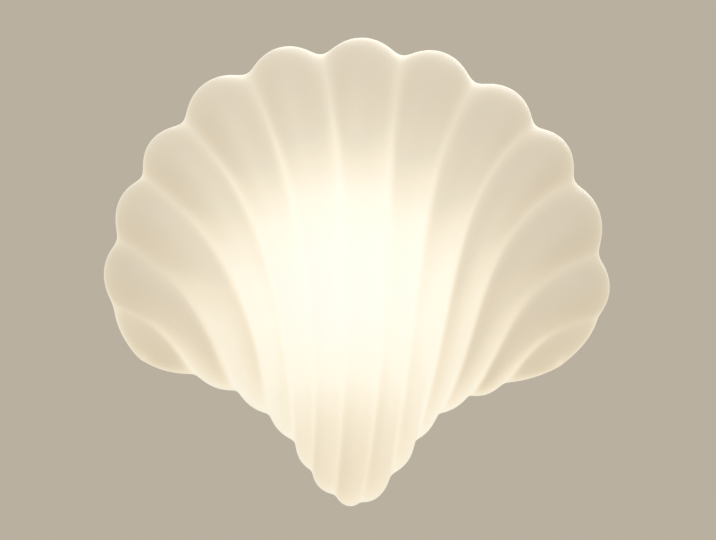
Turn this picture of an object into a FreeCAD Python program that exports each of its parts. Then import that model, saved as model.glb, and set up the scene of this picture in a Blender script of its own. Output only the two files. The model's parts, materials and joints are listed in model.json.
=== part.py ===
import FreeCAD, Part
import math
import os
import re
import Sketcher
from FreeCAD import Placement, Rotation, Vector

# Shell wall light: a blown opal glass scallop shell held by its neck in a steel
# carrier ring, with a lampholder and a screw-in lamp inside it.
# The wall is the plane y = 0 and the light stands out from it towards -Y.
# "Depth" below is the distance from the wall, so depth = -y.

SIZES = {
    # canopy, the pan that covers the wall box
    "sheet": 1.2,
    "canopy_radius": 65.0,
    "canopy_depth": 18.0,
    "canopy_corner": 3.0,
    # bar on the wall, with a slot each side and two studs
    "bar_length": 92.0,
    "bar_width": 22.0,
    "bar_thick": 1.5,
    "bar_bore_radius": 5.0,
    "slot_spacing": 50.0,
    "slot_length": 12.0,
    "slot_width": 4.6,
    "stud_place": 38.0,
    "stud_radius": 2.0,
    "stud_end": 25.0,
    "stud_hole_radius": 2.3,
    "nut_flats": 7.0,
    "lock_nut_height": 3.2,
    "washer_radius": 4.5,
    "washer_thick": 0.8,
    "cap_nut_hex": 3.2,
    "cap_nut_dome_radius": 3.2,
    "cap_nut_dome_height": 5.0,
    "thread_gap": 0.04,
    # carrier ring that holds the neck of the shade
    "ring_bore_radius": 55.0,
    "ring_flange_radius": 43.5,
    "ring_depth": 33.0,
    "ring_lip": 1.4,
    "rivet_place": 46.8,
    "rivet_radius": 1.5,
    "rivet_head_radius": 2.4,
    "rivet_head_height": 1.0,
    "seal_inner_radius": 49.6,
    "seal_outer_radius": 54.2,
    "seal_thick": 1.5,
    # thumb screws and their bushes
    "screw_depth": 26.5,
    "bush_collar_radius": 4.0,
    "bush_shank_radius": 3.0,
    "bush_end": 60.0,
    "screw_radius": 2.0,
    "screw_fit": 0.05,
    "screw_start": 54.2,
    "head_start": 63.5,
    "head_radius": 5.0,
    "head_length": 8.0,
    "collar_radius": 3.2,
    "collar_length": 1.5,
    "tip_radius": 1.6,
    "tip_gap": 0.05,
    "tip_spigot_radius": 1.0,
    "tip_spigot_length": 1.5,
    # glass shade
    "glass_wall": 3.0,
    "neck_radius": 52.0,
    "glass_back_depth": 36.0,
    "rim_depth": 70.0,
    "front_rise": 62.0,
    "back_fall": 34.0,
    # tube that carries the lampholder, with its nut and washer
    "tube_radius": 5.0,
    "tube_bore_radius": 3.9,
    "tube_start": 10.5,
    "tube_end": 21.0,
    "tube_nut_flats": 14.0,
    "tube_nut_height": 2.7,
    "tube_washer_radius": 8.0,
    "tube_washer_thick": 0.8,
    # strap under the lampholder
    "strap_half_width": 8.0,
    "strap_leg": 11.0,
    "strap_ear": 21.0,
    "strap_rise": 26.0,
    "strap_screw_place": 16.8,
    "small_screw_radius": 1.45,
    "small_head_radius": 2.6,
    "small_head_height": 1.8,
    "small_nut_flats": 5.5,
    "small_nut_height": 2.2,
    # porcelain lampholder for a 14 mm screw cap
    "holder_flange_depth": 32.0,
    "holder_flange_half": 20.0,
    "holder_flange_half_width": 10.0,
    "holder_radius": 14.0,
    "holder_end": 60.0,
    "holder_mouth_radius": 9.6,
    "holder_mouth_depth": 54.0,
    "holder_bore_radius": 7.7,
    "holder_floor": 36.0,
    "screw_shell_radius": 7.6,
    "screw_shell_wall": 0.4,
    "screw_shell_start": 38.5,
    # lamp: 45 mm round lamp with a 14 mm screw cap
    "lamp_contact_depth": 38.0,
    "lamp_contact_radius": 2.0,
    "lamp_contact_height": 1.2,
    "cap_start": 41.5,
    "cap_end": 57.0,
    "cap_root_radius": 6.2,
    "cap_crest_radius": 6.9,
    "cap_sheet": 0.5,
    "cap_pitch": 2.822,
    "lamp_skirt_radius": 8.4,
    "lamp_skirt_end": 61.0,
    "bulb_radius": 22.5,
    "bulb_centre": 90.5,
    "bulb_seat": 80.0,
    "bulb_wall": 1.5,
    "board_radius": 17.5,
    "board_thick": 1.5,
    "chip_circle": 12.0,
    # connector block
    "block_half_length": 15.0,
    "block_low": 22.0,
    "block_high": 39.0,
    "block_height": 13.0,
    "pole_spacing": 10.0,
    "pole_depth": 10.0,
    "barrel_radius": 2.6,
    "barrel_bore_radius": 1.5,
    "barrel_half": 6.5,
    "clamp_screw_radius": 1.2,
    # wires and the earth screw
    "wire_radius": 1.0,
    "wire_core_radius": 0.55,
    "wire_offset": 2.2,
    "wire_hole_radius": 1.2,
    "earth_x": 26.0,
    "earth_z": -10.0,
    "wire_turn_depth": 4.2,
    "lug_radius": 4.6,
    "lug_thick": 0.8,
    "lug_barrel_radius": 1.7,
    "lug_barrel_start": 3.8,
    "lug_barrel_end": 8.5,
}

# Furrows of the shell from the left wing to the right wing: where each one meets
# the outline at the top, where it is at seven and at three tenths of its way up,
# and where it meets the outline at the bottom, as (x, z) in millimetres.
FURROWS = [
    [(-146.0, -26.0), (-123.0, -36.0), (-104.5, -54.5), (-96.0, -68.0)],
    [(-143.0, 13.5), (-105.0, -14.0), (-80.5, -54.5), (-71.5, -77.5)],
    [(-128.0, 51.0), (-84.5, 11.0), (-58.0, -49.0), (-53.0, -91.5)],
    [(-103.5, 83.0), (-65.5, 35.0), (-42.5, -42.5), (-38.0, -107.5)],
    [(-65.5, 111.5), (-40.5, 47.5), (-25.5, -47.5), (-28.0, -125.0)],
    [(-21.0, 123.0), (-10.5, 49.0), (-7.5, -56.5), (-14.0, -139.5)],
    [(26.5, 122.5), (18.5, 49.0), (13.0, -58.0), (2.5, -144.0)],
    [(70.0, 106.5), (45.0, 47.0), (30.5, -48.0), (21.0, -127.5)],
    [(106.0, 81.0), (71.0, 38.5), (49.5, -40.0), (35.0, -107.5)],
    [(129.5, 48.0), (89.5, 15.5), (65.5, -45.5), (48.5, -91.5)],
    [(144.0, 4.5), (108.0, -13.0), (82.0, -52.5), (66.5, -80.5)],
    [(144.5, -33.0), (118.5, -41.0), (97.5, -59.5), (87.5, -73.0)],
]
# How far up a furrow its two inner points are, as shares of its way.
LOWER_PLACE = 0.3
UPPER_PLACE = 0.7
# Middle of the outermost rib on each wing, on the outline.
LEFT_WING = (-125.5, -55.5)
RIGHT_WING = (120.0, -57.5)
RIBS = len(FURROWS) + 1
# Height of a rib over its furrows, as a share of the rib's width.
RIB_HEIGHT = {"top": 0.235, "middle": 0.14, "bottom": 0.15, "wing": 0.09}
# How much lower the ribs' tips are towards the wings.
WING_LOSS = 0.3
# How far the surface is let in, because soft furrows are shallower than sharp ones.
FURROW_FILL = 1.2
# How far round the edge the ribs run on to the back, as a share of its depth.
RIB_REACH = 0.75
INNER_RIB_SHARE = 0.8
# Steps per rib in which the width of the shell is added up.
RUN_STEPS = 20
# Share of the outermost rib that is cut off flat at a wing's tip.
WING_TIP = 0.02

SCREW_ANGLES = (90.0, 210.0, 330.0)
RIVET_ANGLE = 30.0
# The earth lug points up and to the left by this angle from upright.
LUG_ANGLE = 36.87
CHIP_COUNT = 10
KNURL_COUNT = 24

doc = FreeCAD.newDocument("ShellWallLight")
sheet = doc.addObject("Spreadsheet::Sheet", "Sizes")
for row, (alias, number) in enumerate(SIZES.items(), start=1):
    sheet.set("A%d" % row, alias)
    sheet.set("B%d" % row, str(number))
    sheet.setAlias("B%d" % row, alias)
doc.recompute()

subparts = []


def size(text):
    """Value in millimetres of a size or of an expression of sizes."""
    return float(sheet.evalExpression(str(text)))


def bind(thing, name, text):
    """Tie a property to an expression of the sheet's sizes."""
    words = re.sub(r"[a-z][a-z_]+", lambda word: "Sizes." + word.group(), str(text))
    thing.setExpression(name, words)


def new_body(label, pieces=1):
    """A body for one sub-part; a group of like pieces keeps them separate."""
    body = doc.addObject("PartDesign::Body", label)
    body.Label = label
    body.AllowCompound = pieces > 1
    subparts.append((body, pieces))
    return body


def origin_feature(body, role):
    return next(item for item in body.Origin.OriginFeatures if item.Role == role)


def new_sketch(body, role, place, turn=Rotation()):
    """A sketch on an origin plane, moved by three expressions."""
    sketch = body.newObject("Sketcher::SketchObject", body.Label + "_sketch")
    sketch.AttachmentSupport = [(origin_feature(body, role), "")]
    sketch.MapMode = "FlatFace"
    sketch.AttachmentOffset = Placement(Vector(*[size(part) for part in place]), turn)
    for axis, part in zip("xyz", place):
        bind(sketch, "AttachmentOffset.Base." + axis, part)
    return sketch


def facing(body, depth):
    """Sketch parallel to the wall: x to the right, y up, at a depth."""
    return new_sketch(body, "XZ_Plane", ("0", "0", depth))


def lengthwise(body, x="0", z="0"):
    """Sketch for turned pieces: x is the radius, y the depth, round (x, z)."""
    return new_sketch(body, "XY_Plane", (x, "0", z), Rotation(Vector(1, 0, 0), 180))


def radial(body):
    """Sketch for pieces turned about the vertical line at the screws' depth."""
    return new_sketch(body, "YZ_Plane", ("-screw_depth", "0", "0"))


def pin(sketch, geometry, point, x, y=None):
    """Fix one point of a sketch across, and also upward where y is given."""
    for kind, text in (("DistanceX", x), ("DistanceY", y)):
        if text is not None:
            fixed = Sketcher.Constraint(kind, -1, 1, geometry, point, size(text))
            bind(sketch, "Constraints[%d]" % sketch.addConstraint(fixed), text)


def polygon(sketch, points):
    """Closed outline through points given as pairs of expressions."""
    first = sketch.GeometryCount
    places = [Vector(size(x), size(y), 0) for x, y in points]
    count = len(points)
    for index in range(count):
        sketch.addGeometry(Part.LineSegment(places[index], places[(index + 1) % count]))
    for index in range(count):
        follower = first + (index + 1) % count
        sketch.addConstraint(Sketcher.Constraint("Coincident", first + index, 2, follower, 1))
    for index, (x, y) in enumerate(points):
        pin(sketch, first + index, 1, x, y)
    return sketch


def circle(sketch, x, y, radius):
    round_line = Part.Circle(Vector(size(x), size(y), 0), Vector(0, 0, 1), size(radius))
    index = sketch.addGeometry(round_line)
    pin(sketch, index, 3, x, y)
    fixed = sketch.addConstraint(Sketcher.Constraint("Radius", index, size(radius)))
    bind(sketch, "Constraints[%d]" % fixed, radius)
    return sketch


def box_outline(sketch, left, low, right, high):
    return polygon(sketch, [(left, low), (right, low), (right, high), (left, high)])


def hexagon(sketch, x, y, flats):
    corners = []
    for step in range(6):
        angle = math.radians(60 * step + 30)
        reach = 1 / math.sqrt(3)
        across = "%s + %s * %.6f" % (x, flats, reach * math.cos(angle))
        upward = "%s + %s * %.6f" % (y, flats, reach * math.sin(angle))
        corners.append((across, upward))
    return polygon(sketch, corners)


def pad(body, sketch, length, inward=False):
    """Thicken a sketch away from the wall, or towards it."""
    feature = body.newObject("PartDesign::Pad", body.Label + "_pad")
    feature.Profile = sketch
    feature.Reversed = inward
    bind(feature, "Length", length)
    doc.recompute()
    return feature


def checked_cut(body, feature, before):
    doc.recompute()
    if body.Shape.Volume > before - 1e-3:
        raise RuntimeError("%s cuts nothing" % feature.Name)
    return feature


def pocket(body, sketch, length, outward=False):
    """Cut a sketch towards the wall, or away from it."""
    before = body.Shape.Volume
    feature = body.newObject("PartDesign::Pocket", body.Label + "_pocket")
    feature.Profile = sketch
    feature.Reversed = outward
    bind(feature, "Length", length)
    return checked_cut(body, feature, before)


def turn(body, sketch):
    feature = body.newObject("PartDesign::Revolution", body.Label + "_turned")
    feature.Profile = sketch
    feature.ReferenceAxis = (sketch, ["V_Axis"])
    feature.Angle = 360
    doc.recompute()
    return feature


def groove(body, sketch):
    before = body.Shape.Volume
    feature = body.newObject("PartDesign::Groove", body.Label + "_groove")
    feature.Profile = sketch
    feature.ReferenceAxis = (sketch, ["V_Axis"])
    feature.Angle = 360
    return checked_cut(body, feature, before)


def repeat_round(body, features, count):
    """Repeat features in a circle about the light's own axis."""
    pattern = body.newObject("PartDesign::PolarPattern", body.Label + "_round")
    pattern.Originals = features
    pattern.Axis = (origin_feature(body, "Y_Axis"), [""])
    pattern.Angle = 360
    pattern.Occurrences = count
    body.Tip = pattern
    doc.recompute()
    return pattern


def round_edges(body, radius, wanted):
    """Fillet the edges for which wanted(edge) is true."""
    names = ["Edge%d" % number for number, edge in enumerate(body.Shape.Edges, start=1)
             if wanted(edge)]
    if not names:
        raise RuntimeError("no edge to round on " + body.Label)
    base = body.Tip
    feature = body.newObject("PartDesign::Fillet", body.Label + "_fillet")
    feature.Base = (base, names)
    bind(feature, "Radius", radius)
    doc.recompute()
    return feature


def stands_out(edge):
    """Test for an edge that runs out from the wall."""
    return abs(edge.Vertexes[0].Point.y - edge.Vertexes[-1].Point.y) > 1


def ring_edge(radius, depth):
    """Test for a circular edge about the light's axis."""
    def found(edge):
        if not hasattr(edge.Curve, "Radius"):
            return False
        same_radius = abs(edge.Curve.Radius - size(radius)) < 1e-4
        return same_radius and abs(edge.Curve.Center.y + size(depth)) < 1e-4
    return found


# ---------------------------------------------------------------- wall plate

def wall_bar():
    """Zinc-plated bar that is screwed to the wall box through its two slots."""
    body = new_body("wall_bracket")
    plate = facing(body, "0")
    box_outline(plate, "-bar_length / 2", "-bar_width / 2", "bar_length / 2", "bar_width / 2")
    pad(body, plate, "bar_thick")
    round_edges(body, "bar_width / 6", stands_out)
    holes = facing(body, "bar_thick")
    circle(holes, "0", "0", "bar_bore_radius")
    for side in ("-", ""):
        circle(holes, side + "stud_place", "0", "stud_radius + thread_gap")
        middle = side + "slot_spacing / 2"
        slot_outline(holes, middle)
    pocket(body, holes, "bar_thick")


def slot_outline(sketch, middle):
    """A slot along X with round ends."""
    half = "(slot_length - slot_width) / 2"
    first = sketch.GeometryCount
    radius = size("slot_width / 2")
    ends = [size("%s + %s" % (middle, half)), size("%s - %s" % (middle, half))]
    quarter = math.pi / 2
    right = Part.Circle(Vector(ends[0], 0, 0), Vector(0, 0, 1), radius)
    left = Part.Circle(Vector(ends[1], 0, 0), Vector(0, 0, 1), radius)
    sketch.addGeometry(Part.ArcOfCircle(right, -quarter, quarter))
    sketch.addGeometry(Part.LineSegment(Vector(ends[0], radius, 0), Vector(ends[1], radius, 0)))
    sketch.addGeometry(Part.ArcOfCircle(left, quarter, 3 * quarter))
    sketch.addGeometry(Part.LineSegment(Vector(ends[1], -radius, 0), Vector(ends[0], -radius, 0)))
    joins = [(0, 2, 1, 1), (1, 2, 2, 1), (2, 2, 3, 1), (3, 2, 0, 1)]
    for geometry, point, other, other_point in joins:
        pair = (first + geometry, point, first + other, other_point)
        sketch.addConstraint(Sketcher.Constraint("Coincident", *pair))
    for geometry, point, sign, end in ((1, 1, "", "+"), (1, 2, "", "-"), (3, 1, "-", "-"),
                                       (3, 2, "-", "+")):
        pin(sketch, first + geometry, point, "%s %s %s" % (middle, end, half),
            sign + "slot_width / 2")
    for geometry, end in ((0, "+"), (2, "-")):
        pin(sketch, first + geometry, 3, "%s %s %s" % (middle, end, half))


def studs():
    """Two threaded studs that stand out of the bar."""
    body = new_body("bracket_studs", pieces=2)
    rods = facing(body, "0")
    for side in ("-", ""):
        circle(rods, side + "stud_place", "0", "stud_radius")
    pad(body, rods, "stud_end")


def stud_nut_group(label, start, height):
    """Two hexagon nuts on the studs."""
    body = new_body(label, pieces=2)
    nuts = facing(body, start)
    for side in ("-", ""):
        hexagon(nuts, side + "stud_place", "0", "nut_flats")
        circle(nuts, side + "stud_place", "0", "stud_radius + thread_gap")
    pad(body, nuts, height)
    return body


def canopy_washers():
    body = new_body("canopy_washers", pieces=2)
    rings = facing(body, "canopy_depth")
    for side in ("-", ""):
        circle(rings, side + "stud_place", "0", "washer_radius")
        circle(rings, side + "stud_place", "0", "stud_hole_radius")
    pad(body, rings, "washer_thick")


def canopy_cap_nuts():
    """Domed nuts that hold the canopy on the studs."""
    body = new_body("canopy_cap_nuts", pieces=2)
    start = "canopy_depth + washer_thick"
    hexes = facing(body, start)
    domes = facing(body, start + " + cap_nut_hex")
    bores = facing(body, start)
    for side in ("-", ""):
        place = side + "stud_place"
        hexagon(hexes, place, "0", "nut_flats")
        circle(domes, place, "0", "cap_nut_dome_radius")
        circle(bores, place, "0", "stud_radius + thread_gap")
    pad(body, hexes, "cap_nut_hex")
    pad(body, domes, "cap_nut_dome_height")
    top = -size(start + " + cap_nut_hex + cap_nut_dome_height")
    round_edges(body, "cap_nut_dome_height / 2", lambda edge: edge.BoundBox.YMax < top + 1e-4)
    pocket(body, bores, "stud_end + 0.3 - (%s)" % start, outward=True)


# ------------------------------------------------------------ canopy and ring

def canopy():
    """Pressed steel pan, open towards the wall."""
    body = new_body("canopy")
    section = lengthwise(body)
    polygon(section, [
        ("0", "canopy_depth"),
        ("canopy_radius", "canopy_depth"),
        ("canopy_radius", "0"),
        ("canopy_radius - sheet", "0"),
        ("canopy_radius - sheet", "canopy_depth - sheet"),
        ("0", "canopy_depth - sheet")])
    turn(body, section)
    round_edges(body, "canopy_corner", ring_edge("canopy_radius", "canopy_depth"))
    inner = ring_edge("canopy_radius - sheet", "canopy_depth - sheet")
    round_edges(body, "canopy_corner - sheet", inner)
    holes = facing(body, "canopy_depth")
    circle(holes, "0", "0", "tube_radius + 0.2")
    for side in ("-", ""):
        circle(holes, side + "stud_place", "0", "stud_hole_radius")
    circle(holes, "pole_spacing / 2", "(block_low + block_high) / 2", "small_screw_radius + thread_gap")
    circle(holes, "earth_x", "earth_z", "stud_radius + thread_gap")
    pocket(body, holes, "sheet")
    rivet_hole(body, "canopy_depth")


def rivet_hole(body, depth):
    """Three holes for the rivets through one sheet."""
    hole = facing(body, depth)
    rivet_circle(hole, "rivet_radius + thread_gap")
    cut = pocket(body, hole, "sheet")
    repeat_round(body, [cut], len(SCREW_ANGLES))


def rivet_circle(sketch, radius):
    angle = math.radians(RIVET_ANGLE)
    circle(sketch, "rivet_place * %.6f" % math.cos(angle), "rivet_place * %.6f" % math.sin(angle), radius)


def carrier_ring():
    """Steel ring with a flange on the canopy, round the neck of the glass."""
    body = new_body("gallery_ring")
    section = lengthwise(body)
    outer = "ring_bore_radius + sheet"
    polygon(section, [
        ("ring_flange_radius", "canopy_depth"),
        (outer, "canopy_depth"),
        (outer, "ring_depth - sheet"),
        (outer + " + ring_lip", "ring_depth - sheet"),
        (outer + " + ring_lip", "ring_depth"),
        ("ring_bore_radius", "ring_depth"),
        ("ring_bore_radius", "canopy_depth + sheet"),
        ("ring_flange_radius", "canopy_depth + sheet")])
    turn(body, section)
    round_edges(body, "sheet", ring_edge(outer, "canopy_depth"))
    bore = radial(body)
    polygon(bore, [
        ("0", "ring_bore_radius - 2"),
        ("bush_shank_radius + thread_gap", "ring_bore_radius - 2"),
        ("bush_shank_radius + thread_gap", "ring_bore_radius + 3"),
        ("0", "ring_bore_radius + 3")])
    cut = groove(body, bore)
    repeat_round(body, [cut], len(SCREW_ANGLES))
    rivet_hole(body, "canopy_depth + sheet")


def rivets():
    """Three rivets that join the ring to the canopy."""
    body = new_body("gallery_rivets", pieces=3)
    back = "canopy_depth - sheet"
    low_head = facing(body, back + " - rivet_head_height")
    rivet_circle(low_head, "rivet_head_radius")
    first = pad(body, low_head, "rivet_head_height")
    shank = facing(body, back)
    rivet_circle(shank, "rivet_radius")
    second = pad(body, shank, "sheet * 2")
    high_head = facing(body, "canopy_depth + sheet")
    rivet_circle(high_head, "rivet_head_radius")
    third = pad(body, high_head, "rivet_head_height")
    repeat_round(body, [first, second, third], len(SCREW_ANGLES))


def bushes():
    """Three threaded bushes in the wall of the ring."""
    body = new_body("gallery_bushes", pieces=3)
    section = radial(body)
    wall = "ring_bore_radius + sheet"
    polygon(section, [
        ("screw_radius + screw_fit", "ring_bore_radius + 0.4"),
        ("bush_shank_radius", "ring_bore_radius + 0.4"),
        ("bush_shank_radius", wall),
        ("bush_collar_radius", wall),
        ("bush_collar_radius", "bush_end"),
        ("screw_radius + screw_fit", "bush_end")])
    bush = turn(body, section)
    repeat_round(body, [bush], len(SCREW_ANGLES))


def neck_seal():
    """Rubber ring between the end of the glass neck and the flange."""
    body = new_body("neck_seal")
    ring = facing(body, "canopy_depth + sheet")
    circle(ring, "0", "0", "seal_outer_radius")
    circle(ring, "0", "0", "seal_inner_radius")
    pad(body, ring, "seal_thick")


def turned_to(body, angle):
    """Turn a piece made pointing up about the light's axis."""
    body.Placement = Placement(Vector(), Rotation(Vector(0, -1, 0), angle - SCREW_ANGLES[0]))


def thumb_screw(number, angle):
    """Knurled screw that presses on the neck of the glass."""
    body = new_body("thumb_screw_%d" % number)
    section = radial(body)
    polygon(section, [
        ("0", "screw_start + tip_spigot_length + 0.1"),
        ("tip_spigot_radius + 0.03", "screw_start + tip_spigot_length + 0.1"),
        ("tip_spigot_radius + 0.03", "screw_start"),
        ("screw_radius", "screw_start"),
        ("screw_radius", "head_start - collar_length"),
        ("collar_radius", "head_start - collar_length"),
        ("collar_radius", "head_start"),
        ("head_radius - 0.6", "head_start"),
        ("head_radius", "head_start + 0.6"),
        ("head_radius", "head_start + head_length - 0.6"),
        ("head_radius - 0.6", "head_start + head_length"),
        ("0", "head_start + head_length")])
    turn(body, section)
    knurl = new_sketch(body, "XY_Plane", ("0", "-screw_depth", "head_start + head_length"))
    reach = "head_radius"
    polygon(knurl, [("-0.35", reach + " + 0.2"), ("0", reach + " - 0.45"), ("0.35", reach + " + 0.2")])
    cut = pocket(body, knurl, "head_length")
    around = body.newObject("PartDesign::PolarPattern", body.Label + "_round")
    around.Originals = [cut]
    around.Axis = (section, ["V_Axis"])
    around.Angle = 360
    around.Occurrences = KNURL_COUNT
    body.Tip = around
    doc.recompute()
    turned_to(body, angle)


def screw_tip(number, angle):
    """Soft tip in the end of a thumb screw, a hair off the glass."""
    body = new_body("screw_tip_%d" % number)
    section = radial(body)
    polygon(section, [
        ("0", "neck_radius + tip_gap"),
        ("tip_radius", "neck_radius + tip_gap"),
        ("tip_radius", "screw_start"),
        ("tip_spigot_radius", "screw_start"),
        ("tip_spigot_radius", "screw_start + tip_spigot_length"),
        ("0", "screw_start + tip_spigot_length")])
    turn(body, section)
    turned_to(body, angle)


# ---------------------------------------------------------------- glass shade

def flat(point):
    return Vector(point[0], 0, point[1])


def shell_lines():
    """The outline through the furrows' ends, and two lines from wing to wing."""
    tops, uppers, lowers, bottoms = zip(*FURROWS)
    around = [LEFT_WING, *tops, RIGHT_WING, *reversed(bottoms)]
    steps = [float(step) for step in range(2 * RIBS + 1)]
    outline = Part.BSplineCurve()
    outline.interpolate(Points=[flat(point) for point in around], PeriodicFlag=True,
                        Parameters=steps)
    crossings = []
    for inner in (uppers, lowers):
        points = [flat(point) for point in (LEFT_WING, *inner, RIGHT_WING)]
        line = Part.BSplineCurve()
        line.interpolate(Points=points, Parameters=steps[:RIBS + 1])
        crossings.append(line)
    return outline, crossings[0], crossings[1]


class ShellForm:
    """Points of the shell: u counts ribs from wing to wing, turn goes round each
    lengthwise loop, from the bottom edge over the front to the top and back."""

    def __init__(self):
        self.outline, self.upper, self.lower = shell_lines()
        self.rim = size("rim_depth")
        self.front = size("front_rise")
        self.back = size("back_fall")
        self.runs = [0.0]
        for step in range(RIBS * RUN_STEPS):
            run = self.middle((step + 1) / RUN_STEPS) - self.middle(step / RUN_STEPS)
            self.runs.append(self.runs[-1] + run.Length)

    def middle(self, u):
        """Point half way along the front, on the line from wing to wing."""
        return (self.upper.value(u) + self.lower.value(u)) * 0.5

    def across(self, u):
        """How far u is from the left wing to the right one, from 0 to 1."""
        place = u / RIBS * (len(self.runs) - 1)
        left = min(int(place), len(self.runs) - 2)
        run = self.runs[left] + (place - left) * (self.runs[left + 1] - self.runs[left])
        return run / self.runs[-1]

    def path(self, u, turn):
        """Place in the view from the front, on a curve through four points."""
        up = (1 - math.cos(turn)) / 2
        after_lower = up - LOWER_PLACE
        after_upper = up - UPPER_PLACE
        end_share = LOWER_PLACE * UPPER_PLACE
        inner_share = end_share * (UPPER_PLACE - LOWER_PLACE)
        bottom = self.outline.value((2 * RIBS - u) % (2 * RIBS))
        return (bottom * (after_lower * after_upper * (1 - up) / end_share)
                + self.lower.value(u) * (up * after_upper * (up - 1) / inner_share)
                - self.upper.value(u) * (up * after_lower * (up - 1) / inner_share)
                + self.outline.value(u) * (up * after_lower * after_upper / end_share))

    def base(self, u, turn):
        """Point of the smooth pillow under the ribs."""
        place = self.path(u, turn)
        across = self.across(u)
        fullness = math.sqrt(max(4 * across * (1 - across), 0.0))
        wave = math.sin(turn)
        if wave >= 0:
            rise = self.front * fullness ** 0.9 * wave ** 0.85
        else:
            rise = -self.back * fullness ** 0.6 * (-wave) ** 0.6
        return Vector(place.x, -self.rim - rise, place.z)

    def tip_share(self, u):
        """1 at a wing's tip, and 0 from the first furrow on."""
        return max(1 - u, u - RIBS + 1, 0) ** 2

    def outward(self, u, turn):
        """Way the skin faces; at a wing's tip the whole loop faces away from the shell."""
        step = 1e-3
        along = self.base(u + step, turn) - self.base(u - step, turn)
        round_loop = self.base(u, turn + step) - self.base(u, turn - step)
        wing = 0 if u < RIBS / 2 else RIBS
        before = (wing - step) % (2 * RIBS)
        edge = self.outline.value(wing + step) - self.outline.value(before)
        away = edge.cross(Vector(0, 1, 0)).normalize()
        share = self.tip_share(u)
        return (along.cross(round_loop).normalize() * (1 - share) + away * share).normalize()

    def rib(self, u, turn):
        """Height of the ribs over the pillow."""
        left = min(int(u), RIBS - 1)
        width = (self.base(left + 1.0, turn) - self.base(float(left), turn)).Length
        part = u - left
        if left == 0:
            part = 0.5 + part / 2
        if left == RIBS - 1:
            part = part / 2
        crown = 1 - (2 * part - 1) ** 2
        end = math.cos(turn)
        sideways = abs(2 * u / RIBS - 1)
        top = max(RIB_HEIGHT["top"] - WING_LOSS * sideways ** 4, RIB_HEIGHT["wing"])
        top += (RIB_HEIGHT["bottom"] - top) * self.tip_share(u)
        share = RIB_HEIGHT["middle"]
        share += (top - share) * max(-end, 0) ** 2
        share += (RIB_HEIGHT["bottom"] - share) * max(end, 0) ** 2
        behind = max(-math.sin(turn), 0) / RIB_REACH
        left_over = max(1 - behind, 0) ** 2
        # At a wing's tip the outermost rib is equally high all round.
        left_over += (1 - left_over) * self.tip_share(u)
        return width * share * crown * left_over

    def point(self, u, turn, inset, rib_share):
        lift = self.rib(u, turn) * rib_share - inset - FURROW_FILL
        return self.base(u, turn) + self.outward(u, turn) * lift


def tip_row(row):
    """Lay the loop at a wing's tip flat, in the upright plane it nearly lies in."""
    half = len(row) // 2
    middle = sum(row, Vector()) * (1 / len(row))
    across = (row[half] - row[0]).cross(Vector(0, 1, 0)).normalize()
    return [point - across * (point - middle).dot(across) for point in row]


def shell_solid(form, inset, rib_share, steps_per_rib=6, steps_round=48):
    """Closed solid whose surface is steered by points of the form."""
    columns = [column / steps_per_rib for column in range(RIBS * steps_per_rib + 1)]
    columns[0] = WING_TIP
    columns[-1] = RIBS - WING_TIP
    rows = []
    for u in columns:
        rows.append([form.point(u, 2 * math.pi * step / steps_round, inset, rib_share)
                     for step in range(steps_round)])
    rows[0] = tip_row(rows[0])
    rows[-1] = tip_row(rows[-1])
    spans = len(rows) - 3
    ends = [4] + [1] * (spans - 1) + [4]
    knots = [float(knot) for knot in range(spans + 1)]
    round_knots = [float(knot) for knot in range(steps_round + 1)]
    faces = []
    half = float(steps_round // 2)
    for low, high in ((0.0, half), (half, float(steps_round))):
        surface = Part.BSplineSurface()
        surface.buildFromPolesMultsKnots(rows, ends, [1] * (steps_round + 1), knots, round_knots,
                                         False, True, 3, 3)
        surface.segment(0.0, float(spans), low, high)
        faces.append(surface.toShape())
    for end in (0, -1):
        tip = Part.BSplineCurve()
        tip.buildFromPolesMultsKnots(rows[end], [1] * (steps_round + 1), round_knots, True, 3)
        halves = []
        for low, high in ((0.0, half), (half, float(steps_round))):
            part = tip.copy()
            part.segment(low, high)
            halves.append(part.toShape())
        faces.append(Part.Face(Part.Wire(halves)))
    skin = Part.makeCompound(faces)
    skin.sewShape(1e-4)
    return Part.Solid(skin.Shells[0])


def glass_shade():
    """One-piece blown shell of opal glass with a straight neck at the back."""
    form = ShellForm()
    wall = size("glass_wall")
    towards_room = Vector(0, -1, 0)
    start = Vector(0, -size("canopy_depth + sheet + seal_thick"), 0)
    neck_length = size("glass_back_depth + 12 - canopy_depth - sheet - seal_thick")
    outer = shell_solid(form, 0.0, 1.0)
    neck = Part.makeCylinder(size("neck_radius"), neck_length, start, towards_room)
    hollow = shell_solid(form, wall, INNER_RIB_SHARE)
    bore = Part.makeCylinder(size("neck_radius") - wall, neck_length + 4, start, towards_room)
    glass = outer.fuse(neck).cut(hollow.fuse(bore))
    shade = doc.addObject("Part::Feature", "glass_shade")
    shade.Label = "glass_shade"
    shade.Shape = glass.Solids[0] if len(glass.Solids) == 1 else glass
    shade.Placement = Placement()
    subparts.append((shade, 1))


# ------------------------------------------------------------------ lampholder

def threaded_tube():
    body = new_body("threaded_tube")
    ring = facing(body, "tube_start")
    circle(ring, "0", "0", "tube_radius")
    circle(ring, "0", "0", "tube_bore_radius")
    pad(body, ring, "tube_end - tube_start")


def tube_washer():
    body = new_body("tube_washer")
    ring = facing(body, "canopy_depth - sheet - tube_washer_thick")
    circle(ring, "0", "0", "tube_washer_radius")
    circle(ring, "0", "0", "tube_radius + 0.2")
    pad(body, ring, "tube_washer_thick")


def tube_nut():
    body = new_body("tube_nut")
    ring = facing(body, "canopy_depth - sheet - tube_washer_thick - tube_nut_height")
    hexagon(ring, "0", "0", "tube_nut_flats")
    circle(ring, "0", "0", "tube_radius + thread_gap")
    pad(body, ring, "tube_nut_height")


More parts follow.
